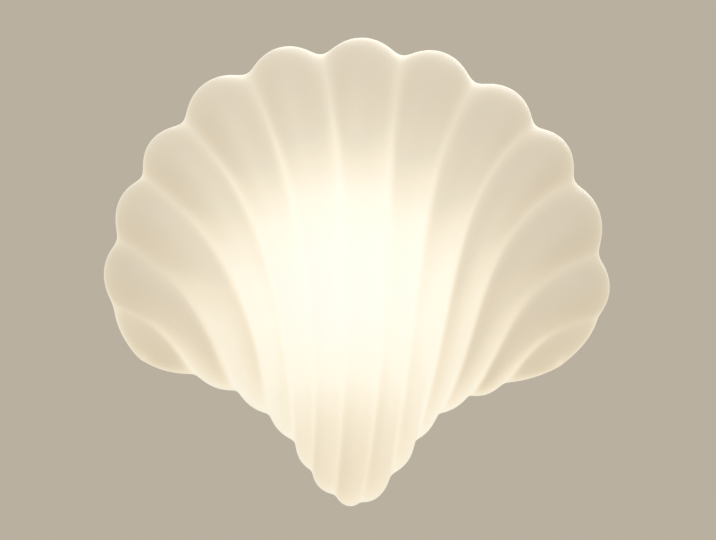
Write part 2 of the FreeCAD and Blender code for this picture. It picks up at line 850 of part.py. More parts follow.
def lampholder_strap():
    """Bent steel strap between the tube and the lampholder."""
    body = new_body("lampholder_strap")
    bend = new_sketch(body, "XY_Plane", ("0", "0", "-strap_half_width"), Rotation(Vector(1, 0, 0), 0))
    low = "-canopy_depth"
    high = "-strap_rise"
    polygon(bend, [
        ("-strap_leg - sheet", low), ("strap_leg + sheet", low),
        ("strap_leg + sheet", high + " + sheet"), ("strap_ear", high + " + sheet"),
        ("strap_ear", high), ("strap_leg", high),
        ("strap_leg", low + " - sheet"), ("-strap_leg", low + " - sheet"),
        ("-strap_leg", high), ("-strap_ear", high),
        ("-strap_ear", high + " + sheet"), ("-strap_leg - sheet", high + " + sheet")])
    pad(body, bend, "strap_half_width * 2")
    hole = facing(body, "canopy_depth + sheet")
    circle(hole, "0", "0", "tube_radius + thread_gap")
    pocket(body, hole, "sheet")
    screw_holes = facing(body, "strap_rise")
    for side in ("-", ""):
        circle(screw_holes, side + "strap_screw_place", "0", "small_screw_radius + 0.15")
    pocket(body, screw_holes, "sheet")


def strap_screws():
    """Two screws down through the lampholder's flange and the strap's ears."""
    body = new_body("strap_screws", pieces=2)
    shanks = facing(body, "strap_rise - sheet - small_nut_height - 0.6")
    heads = facing(body, "holder_flange_depth")
    for side in ("-", ""):
        circle(shanks, side + "strap_screw_place", "0", "small_screw_radius")
        circle(heads, side + "strap_screw_place", "0", "small_head_radius")
    pad(body, shanks, "holder_flange_depth - strap_rise + sheet + small_nut_height + 0.6")
    pad(body, heads, "small_head_height")
    slots = facing(body, "holder_flange_depth + small_head_height")
    for side in ("-", ""):
        middle = side + "strap_screw_place"
        box_outline(slots, middle + " - 0.35", "-small_head_radius - 1",
                    middle + " + 0.35", "small_head_radius + 1")
    pocket(body, slots, "small_head_height / 2")


def strap_nuts():
    body = new_body("strap_nuts", pieces=2)
    nuts = facing(body, "strap_rise - sheet - small_nut_height")
    for side in ("-", ""):
        hexagon(nuts, side + "strap_screw_place", "0", "small_nut_flats")
        circle(nuts, side + "strap_screw_place", "0", "small_screw_radius + thread_gap")
    pad(body, nuts, "small_nut_height")


def lampholder_body():
    """Porcelain body with two ears, a mouth and a bore for the screw shell."""
    body = new_body("lampholder_body")
    foot = facing(body, "strap_rise")
    box_outline(foot, "-holder_flange_half", "-holder_flange_half_width",
                "holder_flange_half", "holder_flange_half_width")
    pad(body, foot, "holder_flange_depth - strap_rise")
    round_edges(body, "holder_flange_half_width / 2", stands_out)
    section = lengthwise(body)
    polygon(section, [
        ("0", "strap_rise"), ("holder_radius", "strap_rise"),
        ("holder_radius", "holder_end - 1.5"), ("holder_radius - 1.5", "holder_end"),
        ("holder_mouth_radius", "holder_end"),
        ("holder_mouth_radius", "holder_mouth_depth"),
        ("holder_bore_radius", "holder_mouth_depth"),
        ("holder_bore_radius", "holder_floor"), ("0", "holder_floor")])
    turn(body, section)
    holes = facing(body, "holder_flange_depth")
    for side in ("-", ""):
        circle(holes, side + "strap_screw_place", "0", "small_screw_radius + 0.15")
    pocket(body, holes, "holder_flange_depth - strap_rise")
    wire_holes = facing(body, "strap_rise")
    for side in ("-", ""):
        circle(wire_holes, side + "wire_offset", "0", "wire_hole_radius")
    pocket(body, wire_holes, "holder_floor - strap_rise", outward=True)


def lampholder_shell():
    """Brass screw shell that takes the lamp's cap."""
    body = new_body("lampholder_shell")
    tube = facing(body, "screw_shell_start")
    circle(tube, "0", "0", "screw_shell_radius")
    circle(tube, "0", "0", "screw_shell_radius - screw_shell_wall")
    pad(body, tube, "holder_mouth_depth - screw_shell_start")


def lampholder_contact():
    """Spring tongue under the lamp's end contact."""
    body = new_body("lampholder_contact")
    bend = new_sketch(body, "XY_Plane", ("0", "0", "-2"), Rotation(Vector(1, 0, 0), 0))
    tip = "-lamp_contact_depth"
    floor = "-holder_floor"
    polygon(bend, [
        ("-6", floor), ("-3.4", floor), ("-1.2", tip + " + 0.4"), ("2.4", tip + " + 0.4"),
        ("2.4", tip + " + 0.05"), ("-1.4", tip + " + 0.05"), ("-3.6", floor + " - 0.4"),
        ("-6", floor + " - 0.4")])
    pad(body, bend, "4")


# ------------------------------------------------------------------------ lamp

def bulb_contact():
    body = new_body("bulb_contact")
    button = facing(body, "lamp_contact_depth")
    circle(button, "0", "0", "lamp_contact_radius")
    pad(body, button, "lamp_contact_height")


def bulb_cap_insulator():
    """Glass bead between the end contact and the screw cap."""
    body = new_body("bulb_cap_insulator")
    section = lengthwise(body)
    top = "lamp_contact_depth + lamp_contact_height"
    polygon(section, [
        ("0", top), ("lamp_contact_radius + 1.2", top),
        ("cap_root_radius - cap_sheet", "cap_start"),
        ("cap_root_radius - cap_sheet", "cap_start + 1.5"), ("0", "cap_start + 1.5")])
    turn(body, section)


def bulb_cap():
    """Nickel-plated screw cap with a rolled round thread."""
    body = new_body("bulb_cap")
    section = lengthwise(body)
    polygon(section, [
        ("cap_root_radius - cap_sheet", "cap_start"), ("cap_root_radius", "cap_start"),
        ("cap_root_radius", "cap_end"), ("cap_root_radius - cap_sheet", "cap_end")])
    turn(body, section)
    ridge = lengthwise(body)
    first = "cap_start + 0.4"
    polygon(ridge, [
        ("cap_root_radius - 0.1", first), ("cap_root_radius + 0.4", first + " + 0.35"),
        ("cap_crest_radius", first + " + 0.85"), ("cap_crest_radius", first + " + 1.25"),
        ("cap_root_radius + 0.4", first + " + 1.75"), ("cap_root_radius - 0.1", first + " + 2.1")])
    thread = body.newObject("PartDesign::AdditiveHelix", "bulb_cap_thread")
    thread.Profile = ridge
    thread.ReferenceAxis = (ridge, ["V_Axis"])
    thread.Mode = "pitch-turns-angle"
    bind(thread, "Pitch", "cap_pitch")
    thread.Turns = 4.0
    doc.recompute()


def bulb_housing():
    """White moulded heat sink between the cap and the diffuser."""
    body = new_body("bulb_housing")
    section = lengthwise(body)
    seat_radius = "board_radius + 1.6"
    polygon(section, [
        ("cap_root_radius - cap_sheet - 1.2", "cap_start + 2"),
        ("cap_root_radius - cap_sheet", "cap_start + 2"),
        ("cap_root_radius - cap_sheet", "cap_end"),
        ("lamp_skirt_radius", "cap_end"),
        ("lamp_skirt_radius", "lamp_skirt_end"),
        ("lamp_skirt_radius + 2.6", "lamp_skirt_end + 3.2"),
        ("lamp_skirt_radius + 6", "lamp_skirt_end + 8.2"),
        (seat_radius + " - 1.8", "bulb_seat - 5"),
        (seat_radius, "bulb_seat"),
        ("board_radius - 2.5", "bulb_seat"),
        ("board_radius - 4", "bulb_seat - 4"),
        ("lamp_skirt_radius + 3", "lamp_skirt_end + 8.2"),
        ("cap_root_radius - cap_sheet - 1.2", "lamp_skirt_end + 2")])
    turn(body, section)


def bulb_diffuser():
    """Opal plastic dome of the lamp."""
    outer = ball("bulb_dome", "bulb_radius")
    inner = ball("bulb_hollow", "bulb_radius - bulb_wall")
    below = doc.addObject("Part::Cylinder", "bulb_below_seat")
    bind(below, "Radius", "bulb_radius * 1.2")
    bind(below, "Height", "bulb_radius")
    below.Placement = Placement(Vector(), Rotation(Vector(1, 0, 0), -90))
    bind(below, "Placement.Base.y", "-bulb_seat")
    taken = doc.addObject("Part::Fuse", "bulb_taken_away")
    taken.Base = inner
    taken.Tool = below
    dome = doc.addObject("Part::Cut", "bulb_diffuser")
    dome.Label = "bulb_diffuser"
    dome.Base = outer
    dome.Tool = taken
    doc.recompute()
    subparts.append((dome, 1))


def ball(name, radius):
    """A ball about the middle of the lamp's dome."""
    piece = doc.addObject("Part::Sphere", name)
    bind(piece, "Radius", radius)
    piece.Placement = Placement(Vector(), Rotation(Vector(1, 0, 0), 90))
    bind(piece, "Placement.Base.y", "-bulb_centre")
    return piece


def led_board():
    body = new_body("led_board")
    disc = facing(body, "bulb_seat")
    circle(disc, "0", "0", "board_radius")
    pad(body, disc, "board_thick")


def led_chips():
    """Small white-light chips in a circle on their board."""
    body = new_body("led_chips", pieces=CHIP_COUNT)
    chip = facing(body, "bulb_seat + board_thick")
    box_outline(chip, "chip_circle - 1.75", "-1.4", "chip_circle + 1.75", "1.4")
    single = pad(body, chip, "0.8")
    repeat_round(body, [single], CHIP_COUNT)


def driver_board():
    """Narrow circuit board inside the lamp's neck, with its largest part."""
    body = new_body("driver_board")
    board = facing(body, "cap_start + 6")
    box_outline(board, "-4", "-0.6", "4", "0.6")
    pad(body, board, "24")
    capacitor = facing(body, "lamp_skirt_end + 1")
    circle(capacitor, "0", "2.4", "1.9")
    pad(body, capacitor, "7")


# -------------------------------------------------------- connector and wiring

def block_poles():
    return ("-pole_spacing", "0", "pole_spacing")


def terminal_block():
    """Three-pole connector block behind the canopy's face."""
    body = new_body("terminal_block")
    foot = "canopy_depth - sheet"
    blank = facing(body, foot + " - block_height")
    box_outline(blank, "-block_half_length", "block_low", "block_half_length", "block_high")
    pad(body, blank, "block_height")
    bores = new_sketch(body, "XY_Plane", ("0", "0", "block_high"), Rotation())
    for pole in block_poles():
        circle(bores, pole, "-pole_depth", "barrel_radius + thread_gap")
    pocket(body, bores, "block_high - block_low")
    wells = facing(body, foot + " - block_height")
    middle = "(block_low + block_high) / 2"
    for pole in block_poles():
        for side in ("-", "+"):
            circle(wells, pole, "%s %s barrel_half / 2" % (middle, side), "clamp_screw_radius + 0.9")
    pocket(body, wells, "pole_depth + block_height - canopy_depth + sheet", outward=True)
    fixing = facing(body, foot)
    circle(fixing, "pole_spacing / 2", middle, "small_screw_radius + 0.15")
    pocket(body, fixing, "block_height")
    recess = facing(body, foot + " - block_height")
    circle(recess, "pole_spacing / 2", middle, "small_head_radius + 0.1")
    pocket(body, recess, "small_head_height + 0.7", outward=True)


def terminal_barrels():
    """Brass tubes that join the wires."""
    body = new_body("terminal_barrels", pieces=3)
    middle = "(block_low + block_high) / 2"
    ends = new_sketch(body, "XY_Plane", ("0", "0", middle + " - barrel_half"), Rotation())
    for pole in block_poles():
        circle(ends, pole, "-pole_depth", "barrel_radius")
        circle(ends, pole, "-pole_depth", "barrel_bore_radius")
    pad(body, ends, "barrel_half * 2")
    taps = facing(body, "pole_depth - barrel_radius - 1")
    for pole in block_poles():
        for side in ("-", "+"):
            circle(taps, pole, "%s %s barrel_half / 2" % (middle, side), "clamp_screw_radius + thread_gap")
    pocket(body, taps, "barrel_radius + 1", outward=True)


def terminal_screws():
    """Six clamp screws of the connector block."""
    body = new_body("terminal_screws", pieces=6)
    middle = "(block_low + block_high) / 2"
    top = "canopy_depth - sheet - block_height + 1"
    shanks = facing(body, top)
    for pole in block_poles():
        for side in ("-", "+"):
            circle(shanks, pole, "%s %s barrel_half / 2" % (middle, side), "clamp_screw_radius")
    pad(body, shanks, "pole_depth - wire_core_radius - 0.05 - (%s)" % top)


def terminal_fixing_screw():
    body = new_body("terminal_fixing_screw")
    section = lengthwise(body, x="pole_spacing / 2", z="(block_low + block_high) / 2")
    head = "canopy_depth - sheet - block_height + 0.7"
    under = head + " + small_head_height"
    polygon(section, [
        ("0", head), ("small_head_radius", head), ("small_head_radius", under),
        ("small_screw_radius", under), ("small_screw_radius", "canopy_depth"), ("0", "canopy_depth")])
    turn(body, section)


def wire(label, points, core_length):
    """Insulated wire along straight runs joined by tangent arcs, with a bare end."""
    places = [Vector(size(x), -size(depth), size(z)) for x, depth, z in points]
    radius = size("wire_radius")
    edges = []
    start = places[0]
    radii = []
    for before, corner, after in zip(places, places[1:], places[2:]):
        back = (before - corner)
        ahead = (after - corner)
        turn_angle = math.pi - back.getAngle(ahead)
        bend = 0.45 * min(back.Length, ahead.Length) / math.tan(turn_angle / 2)
        radii.append(bend)
        set_back = bend * math.tan(turn_angle / 2)
        entry = corner + back.normalize() * set_back
        leave = corner + ahead.normalize() * set_back
        toward = (entry + leave) * 0.5 - corner
        centre = corner + toward.normalize() * (bend / math.cos(turn_angle / 2))
        middle = centre + (corner - centre).normalize() * bend
        edges.append(Part.LineSegment(start, entry).toShape())
        edges.append(Part.Arc(entry, middle, leave).toShape())
        start = leave
    edges.append(Part.LineSegment(start, places[-1]).toShape())
    path = Part.Wire(edges)
    first_run = places[1] - places[0]
    ring = Part.Wire([Part.makeCircle(radius, places[0], first_run)])
    tube = path.makePipeShell([ring], True, False)
    last_run = places[-1] - places[-2]
    core = Part.makeCylinder(size("wire_core_radius"), core_length, places[-1], last_run)
    expected = math.pi * radius ** 2 * path.Length
    solid = tube.fuse(core)
    print("%s: length %.1f mm, radii %s mm, volume ratio %.4f" % (
        label, path.Length, ["%.1f" % bend for bend in radii], tube.Volume / expected))
    piece = doc.addObject("Part::Feature", label)
    piece.Label = label
    piece.Shape = solid.removeSplitter()
    piece.Placement = Placement()
    subparts.append((piece, 1))


def wires():
    """Wires from the lampholder and the earth lug to the connector block."""
    entry = "(block_low + block_high) / 2 - barrel_half - 1"
    inside = "holder_floor - 1.5"
    lug_depth = "canopy_depth - sheet - 2"
    bare_end = 6.0
    wire("wire_live", [
        ("-wire_offset", inside, "0"),
        ("-wire_offset", "wire_turn_depth", "0"),
        ("-pole_spacing * 0.75", "wire_turn_depth + 0.4", "9.5"),
        ("-pole_spacing", "pole_depth", "16"),
        ("-pole_spacing", "pole_depth", entry)], bare_end)
    wire("wire_neutral", [
        ("wire_offset", inside, "0"),
        ("wire_offset", "wire_turn_depth", "0"),
        ("wire_offset * 0.7", "wire_turn_depth + 0.4", "10.5"),
        ("0", "pole_depth", "16"),
        ("0", "pole_depth", entry)], bare_end)
    wire("wire_earth", [
        ("earth_x - %s" % along_lug("x", "lug_barrel_end"), lug_depth,
         "earth_z + %s" % along_lug("z", "lug_barrel_end")),
        ("earth_x - %s" % along_lug("x", "(lug_barrel_end + 7)"), lug_depth,
         "earth_z + %s" % along_lug("z", "(lug_barrel_end + 7)")),
        ("pole_spacing * 1.15", "pole_depth + 1.5", "9"),
        ("pole_spacing", "pole_depth", "15.5"),
        ("pole_spacing", "pole_depth", entry)], bare_end)


def along_lug(axis, distance):
    """Part of a distance along the lug that goes across (x) or up (z)."""
    angle = math.radians(LUG_ANGLE)
    share = math.sin(angle) if axis == "x" else math.cos(angle)
    return "%s * %.6f" % (distance, share)


def earth_lug():
    """Ring terminal with its crimped barrel on the end of the earth wire."""
    body = new_body("earth_lug")
    ring = facing(body, "canopy_depth - sheet - lug_thick")
    circle(ring, "earth_x", "earth_z", "lug_radius")
    circle(ring, "earth_x", "earth_z", "stud_radius + 0.15")
    pad(body, ring, "lug_thick")
    foot = ("earth_x - " + along_lug("x", "lug_barrel_start"),
            "-(canopy_depth - sheet - 2)",
            "earth_z + " + along_lug("z", "lug_barrel_start"))
    barrel = new_sketch(body, "XY_Plane", foot, Rotation(Vector(0, 1, 0), -LUG_ANGLE))
    circle(barrel, "0", "0", "lug_barrel_radius")
    pad(body, barrel, "lug_barrel_end - lug_barrel_start")


def earth_screw():
    body = new_body("earth_screw")
    section = lengthwise(body, x="earth_x", z="earth_z")
    seat = "canopy_depth - sheet - lug_thick"
    polygon(section, [
        ("0", seat + " - 2.6"), ("3.6", seat + " - 2.6"), ("3.6", seat),
        ("stud_radius", seat), ("stud_radius", "canopy_depth + lock_nut_height + 0.8"),
        ("0", "canopy_depth + lock_nut_height + 0.8")])
    turn(body, section)


def earth_nut():
    body = new_body("earth_nut")
    nut = facing(body, "canopy_depth")
    hexagon(nut, "earth_x", "earth_z", "nut_flats")
    circle(nut, "earth_x", "earth_z", "stud_radius + thread_gap")
    pad(body, nut, "lock_nut_height")


def build():
    wall_bar()
    studs()
    stud_nut_group("stud_lock_nuts", "bar_thick", "lock_nut_height")
    canopy()
    canopy_washers()
    canopy_cap_nuts()
    carrier_ring()
    rivets()
    bushes()
    neck_seal()
    for number, angle in enumerate(SCREW_ANGLES, start=1):
        thumb_screw(number, angle)
        screw_tip(number, angle)
    glass_shade()
    threaded_tube()
    tube_washer()
    tube_nut()
    lampholder_strap()
    strap_screws()
    strap_nuts()
    lampholder_body()
    lampholder_shell()
    lampholder_contact()
    bulb_contact()
    bulb_cap_insulator()
    bulb_cap()
    bulb_housing()
    bulb_diffuser()
    led_board()
    led_chips()
    driver_board()
    terminal_block()
    terminal_barrels()
    terminal_screws()
    terminal_fixing_screw()
    wires()
    earth_lug()
    earth_screw()
    earth_nut()


def check_and_write():
    doc.recompute()
    for item in doc.Objects:
        if "Invalid" in item.State or "Error" in item.State:
            raise RuntimeError("%s failed: %s" % (item.Name, item.State))
    for piece, count in subparts:
        shape = piece.Shape
        if shape.isNull() or not shape.isValid():
            raise RuntimeError("%s has a bad shape" % piece.Label)
        if len(shape.Solids) != count:
            raise RuntimeError("%s has %d solids, not %d" % (
                piece.Label, len(shape.Solids), count))
    os.makedirs("parts", exist_ok=True)
    for piece, count in subparts:
        piece.Shape.exportStep("parts/%s.step" % piece.Label)
        box = piece.Shape.BoundBox
        print("%-24s %9.1f mm3  x %.1f..%.1f  y %.1f..%.1f  z %.1f..%.1f" % (
            piece.Label, piece.Shape.Volume, box.XMin, box.XMax, box.YMin, box.YMax,
            box.ZMin, box.ZMax))


build()
check_and_write()
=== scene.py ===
"""Looks of the shell wall light: the blown opal glass and the finish of every piece.

Lengths in the property groups are in metres. "Depth" is the distance from the
wall plane y = 0, and the light stands out towards -Y.
"""
import json
import math
import bmesh
import bpy
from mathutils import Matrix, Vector
from mathutils.bvhtree import BVHTree


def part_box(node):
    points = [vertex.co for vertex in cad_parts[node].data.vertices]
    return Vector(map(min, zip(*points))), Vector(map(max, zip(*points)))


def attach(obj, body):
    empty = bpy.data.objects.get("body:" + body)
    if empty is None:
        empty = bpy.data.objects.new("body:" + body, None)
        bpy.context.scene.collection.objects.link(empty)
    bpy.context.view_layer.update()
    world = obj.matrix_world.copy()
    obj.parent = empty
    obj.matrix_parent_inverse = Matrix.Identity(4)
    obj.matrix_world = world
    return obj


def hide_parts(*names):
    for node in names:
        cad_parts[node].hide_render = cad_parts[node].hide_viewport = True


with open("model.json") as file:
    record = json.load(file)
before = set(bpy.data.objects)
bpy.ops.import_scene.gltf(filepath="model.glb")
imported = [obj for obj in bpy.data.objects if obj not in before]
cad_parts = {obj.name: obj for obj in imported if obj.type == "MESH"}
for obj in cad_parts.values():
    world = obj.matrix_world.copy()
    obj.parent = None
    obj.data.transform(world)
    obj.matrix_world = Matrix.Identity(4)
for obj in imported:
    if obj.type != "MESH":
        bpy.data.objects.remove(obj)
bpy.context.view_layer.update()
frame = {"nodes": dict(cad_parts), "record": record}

bl_info = {
    "name": "Shell Wall Light",
    "version": (1, 0, 0),
    "blender": (4, 5, 0),
    "location": "View3D > Sidebar > Shell Light",
    "description": "Models and finishes the pieces of a lit opal glass shell wall light",
    "category": "Object",
}

MM = 0.001
PHOTO_WIDTH = 716
PHOTO_HEIGHT = 540
SHELL_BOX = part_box("glass_shade")

# Furrows of the shell from the left wing to the right wing: where each one meets
# the outline at the top, where it is at seven and at three tenths of its way up,
# and where it meets the outline at the bottom, as (x, z) in millimetres.
FURROWS = [
    [(-146.0, -26.0), (-123.0, -36.0), (-104.5, -54.5), (-96.0, -68.0)],
    [(-143.0, 13.5), (-105.0, -14.0), (-80.5, -54.5), (-71.5, -77.5)],
    [(-128.0, 51.0), (-84.5, 11.0), (-58.0, -49.0), (-53.0, -91.5)],
    [(-103.5, 83.0), (-65.5, 35.0), (-42.5, -42.5), (-38.0, -107.5)],
    [(-65.5, 111.5), (-40.5, 47.5), (-25.5, -47.5), (-28.0, -125.0)],
    [(-21.0, 123.0), (-10.5, 49.0), (-7.5, -56.5), (-14.0, -139.5)],
    [(26.5, 122.5), (18.5, 49.0), (13.0, -58.0), (2.5, -144.0)],
    [(70.0, 106.5), (45.0, 47.0), (30.5, -48.0), (21.0, -127.5)],
    [(106.0, 81.0), (71.0, 38.5), (49.5, -40.0), (35.0, -107.5)],
    [(129.5, 48.0), (89.5, 15.5), (65.5, -45.5), (48.5, -91.5)],
    [(144.0, 4.5), (108.0, -13.0), (82.0, -52.5), (66.5, -80.5)],
    [(144.5, -33.0), (118.5, -41.0), (97.5, -59.5), (87.5, -73.0)],
]
# How far up a furrow its two inner points are, as shares of its way.
LOWER_PLACE = 0.3
UPPER_PLACE = 0.7
# Middle of the outermost rib on each wing, on the outline.
LEFT_WING = (-125.5, -55.5)
RIGHT_WING = (120.0, -57.5)
RIBS = len(FURROWS) + 1
# Height of a rib over its furrows, as a share of the rib's width.
RIB_HEIGHT = {"top": 0.235, "middle": 0.14, "bottom": 0.15, "wing": 0.09}
# How much lower the ribs' tips are towards the wings.
WING_LOSS = 0.3
# How far the surface is let in, because soft furrows are shallower than sharp ones.
FURROW_FILL = 1.2 * MM
# How far round the edge the ribs run on to the back, as a share of its depth.
RIB_REACH = 0.75
# Height of the ribs on the inner skin, as a share of the outer ones.
INNER_RIB_SHARE = 0.8
# The skin's grid ends this far from a wing's tip, in ribs.
WING_TIP = 0.02
COLUMNS_PER_RIB = 6
ROWS_ROUND = 48
# The modelled skin lies this far inside the solid's.
SKIN_CLEARANCE = 0.4 * MM

# Powers that shape the pillow from wing to wing and from edge to edge. The lower
# they are, the fuller it is near its outline.
FRONT_ACROSS = 0.9
FRONT_ALONG = 0.85
BACK_POWER = 0.6
# Rounds after which the slopes of a smooth line no longer change.
SLOPE_ROUNDS = 60
# Steps on each rib by which the way from wing to wing is measured.
RUN_STEPS = 20
# A face of the back leans less than about 70 degrees from straight backwards.
BACK_LEAN = 0.3
# How far outside the neck's hole the back is prepared for the cut, in hole radii.
CUT_REACH = 1.5
# Corners nearer to the cut than this are moved onto it.
CUT_SNAP = 0.15 * MM
FLARE_STEPS = 7


# ------------------------------------------------------------------ properties

class ShellSizes(bpy.types.PropertyGroup):
    """Driving sizes of the blown shell."""

    rim_depth: bpy.props.FloatProperty(
        name="Rim depth", description="Distance of the shell's widest outline from the wall",
        default=70 * MM, unit="LENGTH")
    front_rise: bpy.props.FloatProperty(
        name="Front rise", description="How far the front stands out from the outline",
        default=62 * MM, unit="LENGTH")
    back_fall: bpy.props.FloatProperty(
        name="Back fall", description="How far the back falls behind the outline",
        default=34 * MM, unit="LENGTH")
    wall: bpy.props.FloatProperty(
        name="Wall", description="Thickness of the blown glass",
        default=3 * MM, unit="LENGTH")
    neck_radius: bpy.props.FloatProperty(
        name="Neck radius", description="Outer radius of the straight neck",
        default=52 * MM, unit="LENGTH")
    neck_flare: bpy.props.FloatProperty(
        name="Neck flare", description="Radius of the curve between the neck and the back",
        default=6 * MM, unit="LENGTH")


class GlowSettings(bpy.types.PropertyGroup):
    """Light of the lamp as it comes through the glass, painted on the shell as glow."""

    lamp_depth: bpy.props.FloatProperty(
        name="Glow depth", description="Distance of the middle of the light from the wall",
        default=85 * MM, unit="LENGTH")
    lamp_drop: bpy.props.FloatProperty(
        name="Glow drop", description="How far the middle of the light lies under the axis",
        default=10 * MM, unit="LENGTH")
    lamp_shift: bpy.props.FloatProperty(
        name="Glow shift", description="Middle of the light right of the axis; under 0 it is left",
        default=-7 * MM, unit="LENGTH")
    reach: bpy.props.FloatProperty(
        name="Reach", description="Distance from the lamp at which its light counts as one",
        default=86 * MM, unit="LENGTH")
    direct: bpy.props.FloatProperty(
        name="Direct light", description="Share that depends on how squarely the lamp is faced",
        default=0.80, min=0.0)
    spread: bpy.props.FloatProperty(
        name="Spread light", description="Share that the milky wall passes on in all directions",
        default=0.31, min=0.0)
    gathered: bpy.props.FloatProperty(
        name="Gathered light", description="Light thrown together at the narrow lower end",
        default=0.55, min=0.0)
    edge: bpy.props.FloatProperty(
        name="Edge light", description="Light led through the wall to the shell's outline",
        default=0.42, min=0.0)
    # Painted glow: the rim line brightens the glass in a thin band along its outline.
    rim_line: bpy.props.FloatProperty(
        name="Rim line", description="Thin bright line where front and back meet",
        default=0.55, min=0.0)
    furrows: bpy.props.FloatProperty(
        name="Furrow light", description="Light in the furrows, which lie nearer to the lamp",
        default=0.17, min=0.0)


class StageSettings(bpy.types.PropertyGroup):
    """Camera and surroundings."""

    lens: bpy.props.FloatProperty(
        name="Lens", description="Focal length for a 36 mm sensor", default=180.0, unit="CAMERA")
    floor_drop: bpy.props.FloatProperty(
        name="Floor drop", description="How far the floor lies under the light",
        default=2.3, unit="LENGTH")
    backdrop: bpy.props.FloatVectorProperty(
        name="Backdrop", description="Colour behind the light", subtype="COLOR",
        size=3, default=(0.485, 0.434, 0.352), min=0.0, max=1.0)


# ------------------------------------------------------------- node and mesh help

def colour(text):
    """Linear colour of an sRGB hex value."""
    shares = [int(text[place:place + 2], 16) / 255 for place in (1, 3, 5)]
    return [share / 12.92 if share <= 0.04045 else ((share + 0.055) / 1.055) ** 2.4
            for share in shares] + [1.0]


def add(tree, kind, inputs=None, out=0, stops=(), **options):
    """Add a node and give back one of its outputs. An input is a value or another
    node's output, and stops are the (position, colour) pairs of a colour ramp."""
    node = tree.nodes.new(kind)
    for name, value in options.items():
        setattr(node, name, value)
    for name, value in (inputs or {}).items():
        if isinstance(value, bpy.types.NodeSocket):
            tree.links.new(value, node.inputs[name])
        else:
            node.inputs[name].default_value = value
    for number, (position, shade) in enumerate(stops):
        elements = node.color_ramp.elements
        stop = elements[number] if number < len(elements) else elements.new(position)
        stop.position = position
        stop.color = shade
    return node.outputs[out] if node.outputs else node


def new_material(name):
    """An empty node material and its tree."""
    material = bpy.data.materials.new(name)
    material.use_nodes = True
    material.node_tree.nodes.clear()
    return material, material.node_tree


def mesh_piece(name, bm):
    """Object at the origin from a bmesh, smooth shaded."""
    mesh = bpy.data.meshes.new(name)
    for face in bm.faces:
        face.smooth = True
    bm.to_mesh(mesh)
    bm.free()
    piece = bpy.data.objects.new(name, mesh)
    bpy.context.scene.collection.objects.link(piece)
    return piece


# ------------------------------------------------------------------- the shell

class Spline:
    """Smooth line through points at 0, 1, 2 and so on, open or closed."""

    def __init__(self, points, closed):
        self.points = [Vector((x * MM, 0, z * MM)) for x, z in points]
        self.closed = closed
        self.slopes = [Vector() for _ in self.points]
        count = len(self.points)
        for _ in range(SLOPE_ROUNDS):
            for index in range(count):
                if closed or 0 < index < count - 1:
                    before = (index - 1) % count
                    after = (index + 1) % count
                    pull = 3 * (self.points[after] - self.points[before])
                    self.slopes[index] = (pull - self.slopes[before] - self.slopes[after]) / 4
                else:
                    inner = 1 if index == 0 else count - 2
                    sign = 1 if index == 0 else -1
                    run = (self.points[inner] - self.points[index]) * sign
                    self.slopes[index] = (3 * run - self.slopes[inner]) / 2

    def at(self, place):
        """Point on the line; its place is counted in points."""
        count = len(self.points)
        left = math.floor(place)
        if not self.closed:
            left = min(max(left, 0), count - 2)
        part = place - left
        start = left % count
        end = (left + 1) % count
        square = part * part
        cube = square * part
        return (self.points[start] * (2 * cube - 3 * square + 1)
                + self.slopes[start] * (cube - 2 * square + part)
                + self.points[end] * (3 * square - 2 * cube)
                + self.slopes[end] * (cube - square))


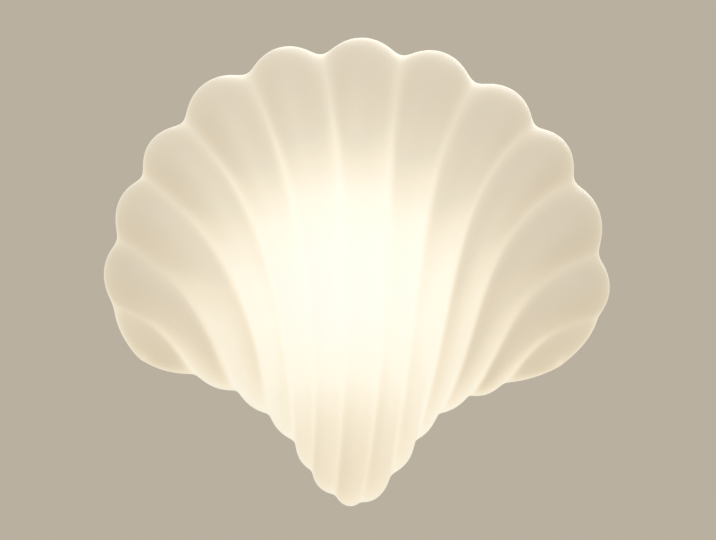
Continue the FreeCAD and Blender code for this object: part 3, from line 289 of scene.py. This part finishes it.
class ShellForm:
    """Points of the shell: u counts ribs from wing to wing, turn goes round each
    lengthwise loop, from the bottom edge over the front to the top and back."""

    def __init__(self, sizes):
        tops, uppers, lowers, bottoms = zip(*FURROWS)
        self.outline = Spline([LEFT_WING, *tops, RIGHT_WING, *reversed(bottoms)], True)
        self.upper = Spline([LEFT_WING, *uppers, RIGHT_WING], False)
        self.lower = Spline([LEFT_WING, *lowers, RIGHT_WING], False)
        self.rim = sizes.rim_depth
        self.front = sizes.front_rise
        self.back = sizes.back_fall
        self.runs = [0.0]
        for step in range(RIBS * RUN_STEPS):
            run = self.middle((step + 1) / RUN_STEPS) - self.middle(step / RUN_STEPS)
            self.runs.append(self.runs[-1] + run.length)

    def middle(self, u):
        """Point half way along the front, on the line from wing to wing."""
        return (self.upper.at(u) + self.lower.at(u)) / 2

    def across(self, u):
        """How far u is from the left wing to the right one, from 0 to 1."""
        place = u / RIBS * (len(self.runs) - 1)
        left = min(int(place), len(self.runs) - 2)
        run = self.runs[left] + (place - left) * (self.runs[left + 1] - self.runs[left])
        return run / self.runs[-1]

    def path(self, u, turn):
        """Place in the view from the front, on a curve through four points."""
        up = (1 - math.cos(turn)) / 2
        after_lower = up - LOWER_PLACE
        after_upper = up - UPPER_PLACE
        end_share = LOWER_PLACE * UPPER_PLACE
        inner_share = end_share * (UPPER_PLACE - LOWER_PLACE)
        return (self.outline.at(2 * RIBS - u) * (after_lower * after_upper * (1 - up) / end_share)
                + self.lower.at(u) * (up * after_upper * (up - 1) / inner_share)
                - self.upper.at(u) * (up * after_lower * (up - 1) / inner_share)
                + self.outline.at(u) * (up * after_lower * after_upper / end_share))

    def base(self, u, turn):
        """Point of the smooth pillow under the ribs."""
        place = self.path(u, turn)
        across = self.across(u)
        fullness = math.sqrt(max(4 * across * (1 - across), 0.0))
        wave = math.sin(turn)
        if wave >= 0:
            rise = self.front * fullness ** FRONT_ACROSS * wave ** FRONT_ALONG
        else:
            rise = -self.back * fullness ** BACK_POWER * (-wave) ** BACK_POWER
        return Vector((place.x, -self.rim - rise, place.z))

    def tip_share(self, u):
        """1 at a wing's tip, and 0 from the first furrow on."""
        return max(1 - u, u - RIBS + 1, 0) ** 2

    def outward(self, u, turn):
        """Way the skin faces; at a wing's tip the whole loop faces away from the shell."""
        step = 1e-3
        along = self.base(u + step, turn) - self.base(u - step, turn)
        round_loop = self.base(u, turn + step) - self.base(u, turn - step)
        wing = 0 if u < RIBS / 2 else RIBS
        edge = self.outline.at(wing + step) - self.outline.at(wing - step)
        away = edge.cross(Vector((0, 1, 0))).normalized()
        share = self.tip_share(u)
        return along.cross(round_loop).normalized().lerp(away, share).normalized()

    def part_of_rib(self, u):
        """From 0 to 1 across a rib; the ribs at the wings are cut in half."""
        left = min(int(u), RIBS - 1)
        part = u - left
        if left == 0:
            return left, 0.5 + part / 2
        if left == RIBS - 1:
            return left, part / 2
        return left, part

    def rib(self, u, turn):
        """Height of the ribs over the pillow."""
        left, part = self.part_of_rib(u)
        width = (self.base(left + 1.0, turn) - self.base(float(left), turn)).length
        crown = 1 - (2 * part - 1) ** 2
        end = math.cos(turn)
        sideways = abs(2 * u / RIBS - 1)
        top = max(RIB_HEIGHT["top"] - WING_LOSS * sideways ** 4, RIB_HEIGHT["wing"])
        top += (RIB_HEIGHT["bottom"] - top) * self.tip_share(u)
        share = RIB_HEIGHT["middle"]
        share += (top - share) * max(-end, 0) ** 2
        share += (RIB_HEIGHT["bottom"] - share) * max(end, 0) ** 2
        behind = max(-math.sin(turn), 0) / RIB_REACH
        left_over = max(1 - behind, 0) ** 2
        # At a wing's tip the outermost rib is equally high all round.
        left_over += (1 - left_over) * self.tip_share(u)
        return width * share * crown * left_over

    def point(self, u, turn, inset, rib_share):
        """Point of the ribbed skin, let in from the outside by the inset."""
        lift = self.rib(u, turn) * rib_share - inset - FURROW_FILL
        return self.base(u, turn) + self.outward(u, turn) * lift

    def furrow(self, u):
        """1 in the bottom of a furrow and 0 on the crown of a rib."""
        part = self.part_of_rib(u)[1]
        return (2 * part - 1) ** 2


def close_wing(bm, side):
    """Close the narrow end of one wing with faces from its top to its bottom edge."""
    edges = [edge for edge in bm.edges if edge.is_boundary and edge.verts[0].co.x * side > 0]
    corners = {vertex for edge in edges for vertex in edge.verts}
    front = min(corners, key=lambda vertex: vertex.co.y)
    behind = max(corners, key=lambda vertex: vertex.co.y)
    sides = [edge for edge in edges if front not in edge.verts and behind not in edge.verts]
    bmesh.ops.bridge_loops(bm, edges=sides)
    left_open = [edge for edge in bm.edges if edge.is_boundary and edge.verts[0].co.x * side > 0]
    bmesh.ops.holes_fill(bm, edges=left_open, sides=3)


def blown_skin(form, inset, rib_share, levels):
    """Closed smooth skin: a grid laid round the form and subdivided."""
    bm = bmesh.new()
    bmesh.ops.create_grid(bm, x_segments=RIBS * COLUMNS_PER_RIB, y_segments=ROWS_ROUND, size=1)
    furrow = bm.verts.layers.float.new("furrow")
    for vertex in bm.verts:
        u = min(max((vertex.co.x + 1) / 2 * RIBS, WING_TIP), RIBS - WING_TIP)
        turn = (vertex.co.y + 1) * math.pi
        vertex.co = form.point(u, turn, inset, rib_share)
        vertex[furrow] = form.furrow(u)
    bmesh.ops.remove_doubles(bm, verts=bm.verts, dist=1e-6)
    close_wing(bm, -1)
    close_wing(bm, 1)
    bmesh.ops.recalc_face_normals(bm, faces=bm.faces)
    rough = mesh_piece("skin", bm)
    smooth = rough.modifiers.new("Smooth", "SUBSURF")
    smooth.levels = levels
    smooth.render_levels = levels
    depsgraph = bpy.context.evaluated_depsgraph_get()
    mesh = bpy.data.meshes.new_from_object(rough.evaluated_get(depsgraph))
    bm = bmesh.new()
    bm.from_mesh(mesh)
    bpy.data.objects.remove(rough)
    bpy.data.meshes.remove(mesh)
    return bm


def open_back(bm, radius):
    """Cut a round hole about the neck's axis in the back and return its edge."""
    tree = BVHTree.FromBMesh(bm)
    behind = Vector((0, 1, 0))
    near = [vertex for vertex in bm.verts
            if vertex.normal.y > BACK_LEAN
            and math.hypot(vertex.co.x, vertex.co.z) < radius * CUT_REACH]
    depths = {vertex: vertex.co.y for vertex in near}
    for vertex in near:
        # The distance from the axis stands in for the depth, so that a flat cut is round.
        vertex.co.y = math.hypot(vertex.co.x, vertex.co.z)
    faces = {face for vertex in near for face in vertex.link_faces
             if all(corner in depths for corner in face.verts)}
    parts = list({edge for face in faces for edge in face.edges}) + list(faces) + near
    cut = bmesh.ops.bisect_plane(bm, geom=parts, dist=CUT_SNAP, plane_co=behind * radius,
                                 plane_no=behind, clear_inner=True)
    edge_loop = [item for item in cut["geom_cut"] if isinstance(item, bmesh.types.BMEdge)]
    rim = {vertex for edge in edge_loop for vertex in edge.verts}
    for vertex in bm.verts:
        if vertex in depths and vertex not in rim:
            vertex.co.y = depths[vertex]
    for vertex in rim:
        reach = math.hypot(vertex.co.x, vertex.co.z)
        vertex.co.x *= radius / reach
        vertex.co.z *= radius / reach
        start = Vector((vertex.co.x, 0, vertex.co.z))
        vertex.co.y = tree.ray_cast(start, -behind)[0].y
    return edge_loop


def draw_rings(bm, edges, rings):
    """Extrude a round edge through rings. Each gives a radius and a function that
    turns the last ring's place from the wall into its own."""
    for radius, place in rings:
        made = bmesh.ops.extrude_edge_only(bm, edges=edges)["geom"]
        edges = [item for item in made if isinstance(item, bmesh.types.BMEdge)]
        for vertex in {corner for edge in edges for corner in edge.verts}:
            reach = math.hypot(vertex.co.x, vertex.co.z)
            vertex.co = Vector((vertex.co.x * radius / reach, place(vertex.co.y),
                                vertex.co.z * radius / reach))


def flare_rings(radius, flare):
    """Rings of the quarter round from the back of the shell into the neck."""
    rings = []
    fallen = 0.0
    for step in range(1, FLARE_STEPS + 1):
        angle = math.pi / 2 * step / FLARE_STEPS
        fall = flare * (1 - math.cos(angle))
        rings.append((radius - flare * math.sin(angle), lambda y, drop=fall - fallen: y + drop))
        fallen = fall
    return rings


def glass_shell(sizes):
    """The whole shell: outer and inner skin joined by the neck."""
    form = ShellForm(sizes)
    hole = sizes.neck_radius + sizes.neck_flare
    lip = 0.8 * MM
    end = SHELL_BOX[1][1]
    bm = bmesh.new()
    for inset, rib_share, levels in ((0.0, 1.0, 2), (sizes.wall, INNER_RIB_SHARE, 1)):
        skin = blown_skin(form, inset + SKIN_CLEARANCE, rib_share, levels)
        edges = open_back(skin, hole)
        rings = flare_rings(hole, sizes.neck_flare + inset)
        neck = sizes.neck_radius - inset
        sign = 1 if inset == 0 else -1
        rings.append((neck, lambda y: end - lip * 3))
        rings.append((neck, lambda y: end - lip))
        rings.append((neck - sign * lip * 0.3, lambda y: end - lip * 0.3))
        rings.append((neck - sign * lip, lambda y: end))
        draw_rings(skin, edges, rings)
        bmesh.ops.recalc_face_normals(skin, faces=skin.faces)
        if inset > 0:
            bmesh.ops.reverse_faces(skin, faces=skin.faces)
        mesh = bpy.data.meshes.new("half")
        skin.to_mesh(mesh)
        skin.free()
        bm.from_mesh(mesh)
        bpy.data.meshes.remove(mesh)
    open_edges = [edge for edge in bm.edges if edge.is_boundary]
    bmesh.ops.bridge_loops(bm, edges=open_edges)
    return mesh_piece("glass_shell", bm)


# ------------------------------------------------------------------- materials

def satin_opal_glass(name):
    """Blown opal glass with an acid-etched skin; its light from inside is painted on as glow."""
    # It gives the eye a milky body without grain, brightest over the lamp, a soft matt
    # sheen, slow waves from the blowing, and more light in the furrows and at the edge.
    glow = bpy.context.scene.shell_glow
    material, tree = new_material(name)
    place = add(tree, "ShaderNodeTexCoord", out="Object")
    normal = add(tree, "ShaderNodeTexCoord", out="Normal")
    # Painted glow stands in for the lamp's light: it fades with distance from a fixed point and
    # with the slant of the wall to it.
    lamp = (glow.lamp_shift, -glow.lamp_depth, -glow.lamp_drop)
    ray = add(tree, "ShaderNodeVectorMath", {0: place, 1: lamp}, operation="SUBTRACT")
    distance = add(tree, "ShaderNodeVectorMath", {0: ray}, "Value", operation="LENGTH")
    beam = add(tree, "ShaderNodeVectorMath", {0: ray}, operation="NORMALIZE")
    faced = add(tree, "ShaderNodeVectorMath", {0: beam, 1: normal}, "Value",
                operation="DOT_PRODUCT")
    slant = add(tree, "ShaderNodeMath", {0: faced}, operation="ABSOLUTE")
    slant = add(tree, "ShaderNodeMath", {0: slant, 1: 1.6}, operation="POWER")
    near = add(tree, "ShaderNodeMath", {0: glow.reach, 1: distance}, operation="DIVIDE")
    near = add(tree, "ShaderNodeMath", {0: near, 1: 2.0}, operation="POWER")
    height = add(tree, "ShaderNodeSeparateXYZ", {0: place}, "Z")
    # More painted glow towards the narrow lower end.
    low = add(tree, "ShaderNodeMapRange", {
        "Value": height, "From Min": 0.0, "From Max": -150 * MM, "To Max": glow.gathered})
    near = add(tree, "ShaderNodeMath", {0: near, 1: low}, operation="ADD")
    share = add(tree, "ShaderNodeMath", {0: slant, 1: glow.direct, 2: glow.spread},
                operation="MULTIPLY_ADD")
    light = add(tree, "ShaderNodeMath", {0: near, 1: share}, operation="MULTIPLY")
    # The outline is where the wall faces neither the room nor the wall behind.
    forward = add(tree, "ShaderNodeSeparateXYZ", {0: normal}, "Y")
    forward = add(tree, "ShaderNodeMath", {0: forward}, operation="ABSOLUTE")
    edge = add(tree, "ShaderNodeMath", {0: 1.0, 1: forward}, operation="SUBTRACT")
    furrow = add(tree, "ShaderNodeAttribute", out="Fac", attribute_name="furrow")
    # Painted glow is added towards the outline, in a thin bright rim line, and in the furrows.
    for source, power, strength in ((edge, 2.0, glow.edge), (edge, 8.0, glow.rim_line),
                                    (furrow, 2.0, glow.furrows)):
        part = add(tree, "ShaderNodeMath", {0: source, 1: power}, operation="POWER")
        light = add(tree, "ShaderNodeMath", {0: part, 1: strength, 2: light},
                    operation="MULTIPLY_ADD")
    # The milk is a little cloudy, in clouds about 20 mm wide.
    cloud = add(tree, "ShaderNodeTexNoise", {
        "Vector": place, "Scale": 1 / (20 * MM), "Detail": 3.0})
    cloud = add(tree, "ShaderNodeMath", {0: cloud, 1: 0.12, 2: 0.94}, operation="MULTIPLY_ADD")
    light = add(tree, "ShaderNodeMath", {0: light, 1: cloud}, operation="MULTIPLY")
    # Strong light levels off, so that the middle stays just under white.
    light = add(tree, "ShaderNodeMath", {0: light, 1: -1.0}, operation="MULTIPLY")
    faded = add(tree, "ShaderNodeMath", {0: light}, operation="EXPONENT")
    bright = add(tree, "ShaderNodeMath", {0: 1.0, 1: faded}, operation="SUBTRACT",
                 use_clamp=True)
    glowing = add(tree, "ShaderNodeValToRGB", {"Fac": bright}, stops=[
        (0.00, colour("#4A3F2E")), (0.35, colour("#9A8C72")), (0.45, colour("#A69B83")),
        (0.55, colour("#BCB199")), (0.65, colour("#C9C0AC")), (0.75, colour("#CFCBBB")),
        (0.85, colour("#CFCEC0")), (0.95, colour("#CDCEC6"))])
    # Waves of blown glass are about 12 mm long. The etched grain of some 0.05 mm is drawn
    # 1.1 mm wide, because it couldn't be seen otherwise.
    wave = add(tree, "ShaderNodeTexNoise", {
        "Vector": place, "Scale": 1 / (12 * MM), "Detail": 2.0})
    bump = add(tree, "ShaderNodeBump", {"Height": wave, "Strength": 0.15, "Distance": 0.1 * MM})
    etched = add(tree, "ShaderNodeTexNoise", {
        "Vector": place, "Scale": 1 / (1.1 * MM), "Detail": 2.0})
    gloss = add(tree, "ShaderNodeMapRange", {"Value": etched, "To Min": 0.40, "To Max": 0.50})
    shader = add(tree, "ShaderNodeBsdfPrincipled", {
        "Base Color": colour("#B8B3A9"), "Roughness": gloss, "IOR": 1.5, "Normal": bump,
        "Sheen Weight": 0.5, "Sheen Roughness": 0.25,
        "Emission Color": glowing, "Emission Strength": 1.0})
    add(tree, "ShaderNodeOutputMaterial", {"Surface": shader})
    return material


def grained(name, dark, pale, grain, gloss, relief, stretch=(1, 1, 1), **fixed):
    """Finish whose colour, roughness and relief follow a grain of a real size.

    Gloss is the lowest and the highest roughness, and fixed values go to the shader
    as they are. A third of the pattern is a slower variation, twelve grains wide."""
    material, tree = new_material(name)
    place = add(tree, "ShaderNodeTexCoord", out="Object")
    place = add(tree, "ShaderNodeMapping", {"Vector": place, "Scale": stretch})
    fine = add(tree, "ShaderNodeTexNoise", {
        "Vector": place, "Scale": 1 / grain, "Detail": 4.0, "Roughness": 0.6}, "Fac")
    broad = add(tree, "ShaderNodeTexNoise", {
        "Vector": place, "Scale": 1 / (12 * grain), "Detail": 2.0}, "Fac")
    mixed = add(tree, "ShaderNodeMix", {0: 0.35, 2: fine, 3: broad})
    tint = add(tree, "ShaderNodeValToRGB", {"Fac": mixed},
               stops=[(0.3, colour(dark)), (0.7, colour(pale))])
    rough = add(tree, "ShaderNodeMapRange", {
        "Value": mixed, "From Min": 0.25, "From Max": 0.75,
        "To Min": gloss[1], "To Max": gloss[0]})
    bump = add(tree, "ShaderNodeBump", {"Height": fine, "Strength": 0.5, "Distance": relief})
    inputs = {"Base Color": tint, "Roughness": rough, "Normal": bump} | fixed
    shader = add(tree, "ShaderNodeBsdfPrincipled", inputs)
    add(tree, "ShaderNodeOutputMaterial", {"Surface": shader})
    return material


METAL = {"Metallic": 1.0}


def powder_coated_steel(name):
    # Baked polyester powder: an even warm white, half matt, with a fine orange peel.
    return grained(name, "#DEDBD2", "#E9E6DE", 1.2 * MM, (0.42, 0.55), 0.08 * MM, IOR=1.5)


def zinc_plated_steel(name):
    # Rolled sheet under bright zinc: cool grey, with drawn-out rolling marks and a dull gleam.
    return grained(name, "#9FA4A8", "#BFC3C6", 1.5 * MM, (0.28, 0.45), 0.02 * MM,
                   stretch=(1, 1, 0.15), **METAL)


def satin_nickel_plate(name):
    # Nickel over brushed brass: a warm grey that keeps soft, blurred highlights.
    return grained(name, "#B7B1A5", "#CFCABF", 0.5 * MM, (0.20, 0.32), 0.01 * MM, **METAL)


def turned_brass(name):
    # Bar brass straight from the lathe: yellow, with close tool marks and a clear gleam.
    return grained(name, "#B98F46", "#D6B066", 0.4 * MM, (0.22, 0.36), 0.02 * MM,
                   stretch=(1, 3, 1), **METAL)


def pressed_brass_sheet(name):
    # Thin drawn sheet: a paler brass with broad, faintly tarnished patches.
    return grained(name, "#B58C48", "#DAB56C", 2.0 * MM, (0.20, 0.38), 0.01 * MM, **METAL)


def tinned_copper(name):
    # Hot-dipped tin: silver-white with duller, slightly brown patches.
    return grained(name, "#A89F93", "#C2C0BB", 1.0 * MM, (0.30, 0.50), 0.02 * MM, **METAL)


def dull_solder(name):
    # Solder that froze on the contact: grey and uneven, without a clear reflection.
    return grained(name, "#85888C", "#A9ABAE", 0.8 * MM, (0.35, 0.60), 0.05 * MM, **METAL)


def milky_silicone_rubber(name):
    # Moulded silicone: a soft, milky white that takes a little dust.
    return grained(name, "#CFCBC0", "#DDDAD1", 1.2 * MM, (0.45, 0.60), 0.03 * MM,
                   IOR=1.41, **{"Sheen Weight": 0.2})


def glazed_porcelain(name):
    # Fired glaze: a cream white under a glassy skin with long soft waves.
    return grained(name, "#E2DED3", "#EDEBE4", 6.0 * MM, (0.12, 0.22), 0.05 * MM, IOR=1.52)


def moulded_nylon(name):
    # Injection-moulded nylon: off-white and waxy, with a fine spark-eroded texture.
    return grained(name, "#D8D5CB", "#E4E2DA", 0.6 * MM, (0.40, 0.55), 0.04 * MM, IOR=1.53)


def turned_nylon(name):
    # Nylon rod cut on the lathe: off-white, a little rougher than a moulded face.
    return grained(name, "#DBD8CF", "#E8E6DF", 0.4 * MM, (0.45, 0.55), 0.03 * MM, IOR=1.53)


def brown_silicone_sleeve(name):
    # Extruded insulation: plain brown with a soft, slightly waxy gloss.
    return grained(name, "#4A2E1A", "#5B3A22", 0.6 * MM, (0.40, 0.55), 0.02 * MM, IOR=1.41)


def blue_silicone_sleeve(name):
    # The same insulation in blue.
    return grained(name, "#234B84", "#2C5C9E", 0.6 * MM, (0.40, 0.55), 0.02 * MM, IOR=1.41)


def striped_silicone_sleeve(name):
    """Green insulation with a yellow stripe wound round it."""
    # It gives the eye the two colours in slanting bands about 4 mm wide.
    material, tree = new_material(name)
    place = add(tree, "ShaderNodeTexCoord", out="Object")
    band = add(tree, "ShaderNodeTexWave", {"Vector": place, "Scale": 1 / (25 * MM),
                                           "Distortion": 0.6}, "Fac", bands_direction="DIAGONAL")
    tint = add(tree, "ShaderNodeValToRGB", {"Fac": band}, stops=[
        (0.48, colour("#3C8436")), (0.54, colour("#D9C63C"))])
    waxy = add(tree, "ShaderNodeTexNoise", {"Vector": place, "Scale": 1 / (0.6 * MM)}, "Fac")
    rough = add(tree, "ShaderNodeMapRange", {"Value": waxy, "To Min": 0.40, "To Max": 0.55})
    shader = add(tree, "ShaderNodeBsdfPrincipled", {
        "Base Color": tint, "Roughness": rough, "IOR": 1.41})
    add(tree, "ShaderNodeOutputMaterial", {"Surface": shader})
    return material


def black_lamp_glass(name):
    # Pressed black glass: deep, smooth and sharply reflecting.
    return grained(name, "#0D0C11", "#15131A", 1.0 * MM, (0.08, 0.15), 0.01 * MM, IOR=1.5)


def moulded_polycarbonate(name):
    # Filled polycarbonate of the lamp's body: a dense matt white.
    return grained(name, "#DFDDD7", "#EAE9E5", 0.5 * MM, (0.45, 0.60), 0.02 * MM, IOR=1.58)


def lit_opal_polycarbonate(name):
    # The lamp's dome, switched on: it shines an even warm white and has no visible grain.
    shine = {"Emission Color": colour("#FFF2DA"), "Emission Strength": 0.72}
    return grained(name, "#76726A", "#7F7B73", 3.0 * MM, (0.40, 0.50), 0.01 * MM,
                   IOR=1.58, **shine)


def white_masked_aluminium(name):
    # Aluminium core board under white solder mask: flat white, half matt.
    return grained(name, "#CFCFCC", "#DEDEDC", 0.8 * MM, (0.35, 0.50), 0.01 * MM, IOR=1.5)


def yellow_phosphor(name):
    # Silicone filled with phosphor: a strong yellow with the grain of the powder.
    return grained(name, "#D6B443", "#E5C554", 0.3 * MM, (0.50, 0.60), 0.02 * MM, IOR=1.41)


def glass_fibre_board(name):
    # Green lacquered laminate, in which the weave shows as a faint mottle.
    return grained(name, "#1F4A2B", "#2A5E38", 0.5 * MM, (0.35, 0.50), 0.02 * MM, IOR=1.5)


MATERIALS = {
    "opal_glass": satin_opal_glass,
    "white_powder_coat": powder_coated_steel,
    "zinc_steel": zinc_plated_steel,
    "nickel": satin_nickel_plate,
    "brass_turned": turned_brass,
    "brass_pressed": pressed_brass_sheet,
    "tinned_copper": tinned_copper,
    "solder": dull_solder,
    "seal_rubber": milky_silicone_rubber,
    "porcelain": glazed_porcelain,
    "block_nylon": moulded_nylon,
    "tip_nylon": turned_nylon,
    "wire_brown": brown_silicone_sleeve,
    "wire_blue": blue_silicone_sleeve,
    "wire_green": striped_silicone_sleeve,
    "black_glass": black_lamp_glass,
    "lamp_plastic": moulded_polycarbonate,
    "lamp_diffuser": lit_opal_polycarbonate,
    "board_aluminium": white_masked_aluminium,
    "led_phosphor": yellow_phosphor,
    "board_green": glass_fibre_board,
}


def finish_of(slot):
    """Material of one of the record's slots, made the first time it is asked for."""
    make = MATERIALS[slot]
    return bpy.data.materials.get(make.__name__) or make(make.__name__)


def dress(*nodes):
    """Give carried-over pieces the finish of their material slots."""
    slots = {part["node"]: part["material_slot"] for part in frame["record"]["subparts"]}
    for node in nodes:
        materials = frame["nodes"][node].data.materials
        materials.clear()
        materials.append(finish_of(slots[node]))


# ------------------------------------------------------------------- operators

class LIGHT_OT_shell(bpy.types.Operator):
    """Model the blown glass shell with its neck"""

    bl_idname = "shell_light.shell"
    bl_label = "Glass Shell"

    def execute(self, context):
        piece = glass_shell(context.scene.shell_sizes)
        piece.data.materials.append(finish_of("opal_glass"))
        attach(piece, "shade")
        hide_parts("glass_shade")
        return {"FINISHED"}


class LIGHT_OT_mounting(bpy.types.Operator):
    """Finish the wall bar, the canopy and the ring that holds the shell"""

    bl_idname = "shell_light.mounting"
    bl_label = "Wall Bar, Canopy and Ring"

    def execute(self, context):
        dress("wall_bracket", "bracket_studs", "stud_lock_nuts", "canopy", "canopy_washers",
              "canopy_cap_nuts", "gallery_ring", "gallery_rivets", "gallery_bushes", "neck_seal")
        return {"FINISHED"}


class LIGHT_OT_thumb_screws(bpy.types.Operator):
    """Finish the three thumb screws and their soft tips"""

    bl_idname = "shell_light.thumb_screws"
    bl_label = "Thumb Screws"

    def execute(self, context):
        for number in (1, 2, 3):
            dress(f"thumb_screw_{number}", f"screw_tip_{number}")
        return {"FINISHED"}


class LIGHT_OT_lampholder(bpy.types.Operator):
    """Finish the porcelain lampholder and what carries it"""

    bl_idname = "shell_light.lampholder"
    bl_label = "Lampholder"

    def execute(self, context):
        dress("threaded_tube", "tube_washer", "tube_nut", "lampholder_strap", "strap_screws",
              "strap_nuts", "lampholder_body", "lampholder_shell", "lampholder_contact")
        return {"FINISHED"}


class LIGHT_OT_lamp(bpy.types.Operator):
    """Finish the screw-in lamp and what is inside it"""

    bl_idname = "shell_light.lamp"
    bl_label = "Lamp"

    def execute(self, context):
        dress("bulb_contact", "bulb_cap", "bulb_cap_insulator", "bulb_housing", "bulb_diffuser",
              "led_board", "led_chips", "driver_board")
        return {"FINISHED"}


class LIGHT_OT_wiring(bpy.types.Operator):
    """Finish the connector block, the wires and the earth point"""

    bl_idname = "shell_light.wiring"
    bl_label = "Wiring"

    def execute(self, context):
        dress("terminal_block", "terminal_barrels", "terminal_screws", "terminal_fixing_screw",
              "wire_live", "wire_neutral", "wire_earth", "earth_lug", "earth_screw", "earth_nut")
        return {"FINISHED"}


class LIGHT_OT_stage(bpy.types.Operator):
    """Set the camera, the soft lights and the pale floor"""

    bl_idname = "shell_light.stage"
    bl_label = "Stage"

    def execute(self, context):
        set_camera(context.scene)
        set_floor(context.scene)
        set_lights(context.scene)
        return {"FINISHED"}


def set_camera(scene):
    """Camera straight in front, framed as the photograph is."""
    # Place of the shell's axis in the photograph, and the size of a pixel at its outline.
    axis_x = 357
    axis_y = 262
    pixel = 0.5929 * MM
    data = bpy.data.cameras.new("camera")
    data.lens = scene.shell_stage.lens
    data.sensor_width = 36.0
    width = PHOTO_WIDTH * pixel
    distance = data.lens * width / data.sensor_width
    camera = bpy.data.objects.new("camera", data)
    scene.collection.objects.link(camera)
    camera.location = ((PHOTO_WIDTH / 2 - axis_x) * pixel, -scene.shell_sizes.rim_depth - distance,
                       (axis_y - PHOTO_HEIGHT / 2) * pixel)
    camera.rotation_euler = (math.radians(90), 0, 0)
    scene.camera = camera


def set_floor(scene):
    """Wide pale floor, far enough down that low views stay free."""
    radius = 20.0
    bm = bmesh.new()
    bmesh.ops.create_circle(bm, cap_ends=True, segments=64, radius=radius)
    bmesh.ops.translate(bm, verts=bm.verts, vec=(0, 0, -scene.shell_stage.floor_drop))
    floor = mesh_piece("floor", bm)
    material, tree = new_material("pale_matt_floor")
    shader = add(tree, "ShaderNodeBsdfPrincipled",
                 {"Base Color": colour("#E7DCC8"), "Roughness": 0.9})
    add(tree, "ShaderNodeOutputMaterial", {"Surface": shader})
    floor.data.materials.append(material)


def set_lights(scene):
    """Soft light from the surroundings and three wide lamps."""
    world = bpy.data.worlds.new("soft_room")
    scene.world = world
    world.use_nodes = True
    tree = world.node_tree
    tree.nodes.clear()
    # The camera and reflections see the backdrop, and everything else the white room.
    seen = add(tree, "ShaderNodeLightPath", out="Is Camera Ray")
    for ray in ("Is Glossy Ray", "Is Transmission Ray"):
        other = add(tree, "ShaderNodeLightPath", out=ray)
        seen = add(tree, "ShaderNodeMath", {0: seen, 1: other}, operation="MAXIMUM")
    tone = list(scene.shell_stage.backdrop) + [1.0]
    room = add(tree, "ShaderNodeBackground", {"Color": (1, 1, 1, 1), "Strength": 0.62})
    wall = add(tree, "ShaderNodeBackground", {"Color": tone, "Strength": 1.0})
    mixed = add(tree, "ShaderNodeMixShader", {0: seen, 1: room, 2: wall})
    add(tree, "ShaderNodeOutputWorld", {"Surface": mixed})
    # Each lamp's name, place and width in metres, and power in watts.
    for name, place, size, power in (("key", (-1.8, -3.0, 2.2), 3.0, 40.0),
                                     ("fill", (2.6, -2.4, 0.6), 3.0, 22.0),
                                     ("back", (0.6, 3.0, 1.8), 2.5, 34.0)):
        data = bpy.data.lights.new(name, "AREA")
        data.size = size
        data.energy = power
        lamp = bpy.data.objects.new(name, data)
        scene.collection.objects.link(lamp)
        lamp.location = place
        lamp.rotation_euler = Vector(place).to_track_quat("Z", "Y").to_euler()
    scene.view_settings.view_transform = "Standard"


class LIGHT_PT_panel(bpy.types.Panel):
    """Sizes and steps of the shell wall light"""

    bl_label = "Shell Light"
    bl_idname = "LIGHT_PT_panel"
    bl_space_type = "VIEW_3D"
    bl_region_type = "UI"
    bl_category = "Shell Light"

    def draw(self, context):
        scene = context.scene
        for group in (scene.shell_sizes, scene.shell_glow, scene.shell_stage):
            box = self.layout.box()
            for name in group.bl_rna.properties.keys():
                if name not in ("rna_type", "name"):
                    box.prop(group, name)
        for step in STEPS:
            self.layout.operator(step.bl_idname)


STEPS = (LIGHT_OT_stage, LIGHT_OT_shell, LIGHT_OT_mounting, LIGHT_OT_thumb_screws,
         LIGHT_OT_lampholder, LIGHT_OT_lamp, LIGHT_OT_wiring)
CLASSES = (ShellSizes, GlowSettings, StageSettings) + STEPS + (LIGHT_PT_panel,)


def register():
    """Register the classes and give the scene its three groups of settings."""
    for item in CLASSES:
        bpy.utils.register_class(item)
    scene_type = bpy.types.Scene
    scene_type.shell_sizes = bpy.props.PointerProperty(type=ShellSizes)
    scene_type.shell_glow = bpy.props.PointerProperty(type=GlowSettings)
    scene_type.shell_stage = bpy.props.PointerProperty(type=StageSettings)


def unregister():
    """Take back what register did."""
    for name in ("shell_sizes", "shell_glow", "shell_stage"):
        delattr(bpy.types.Scene, name)
    for item in reversed(CLASSES):
        bpy.utils.unregister_class(item)


def main():
    """Build and finish the light."""
    register()
    bpy.ops.shell_light.stage()
    bpy.ops.shell_light.shell()
    bpy.ops.shell_light.mounting()
    bpy.ops.shell_light.thumb_screws()
    bpy.ops.shell_light.lampholder()
    bpy.ops.shell_light.lamp()
    bpy.ops.shell_light.wiring()


if __name__ == "__main__":
    main()
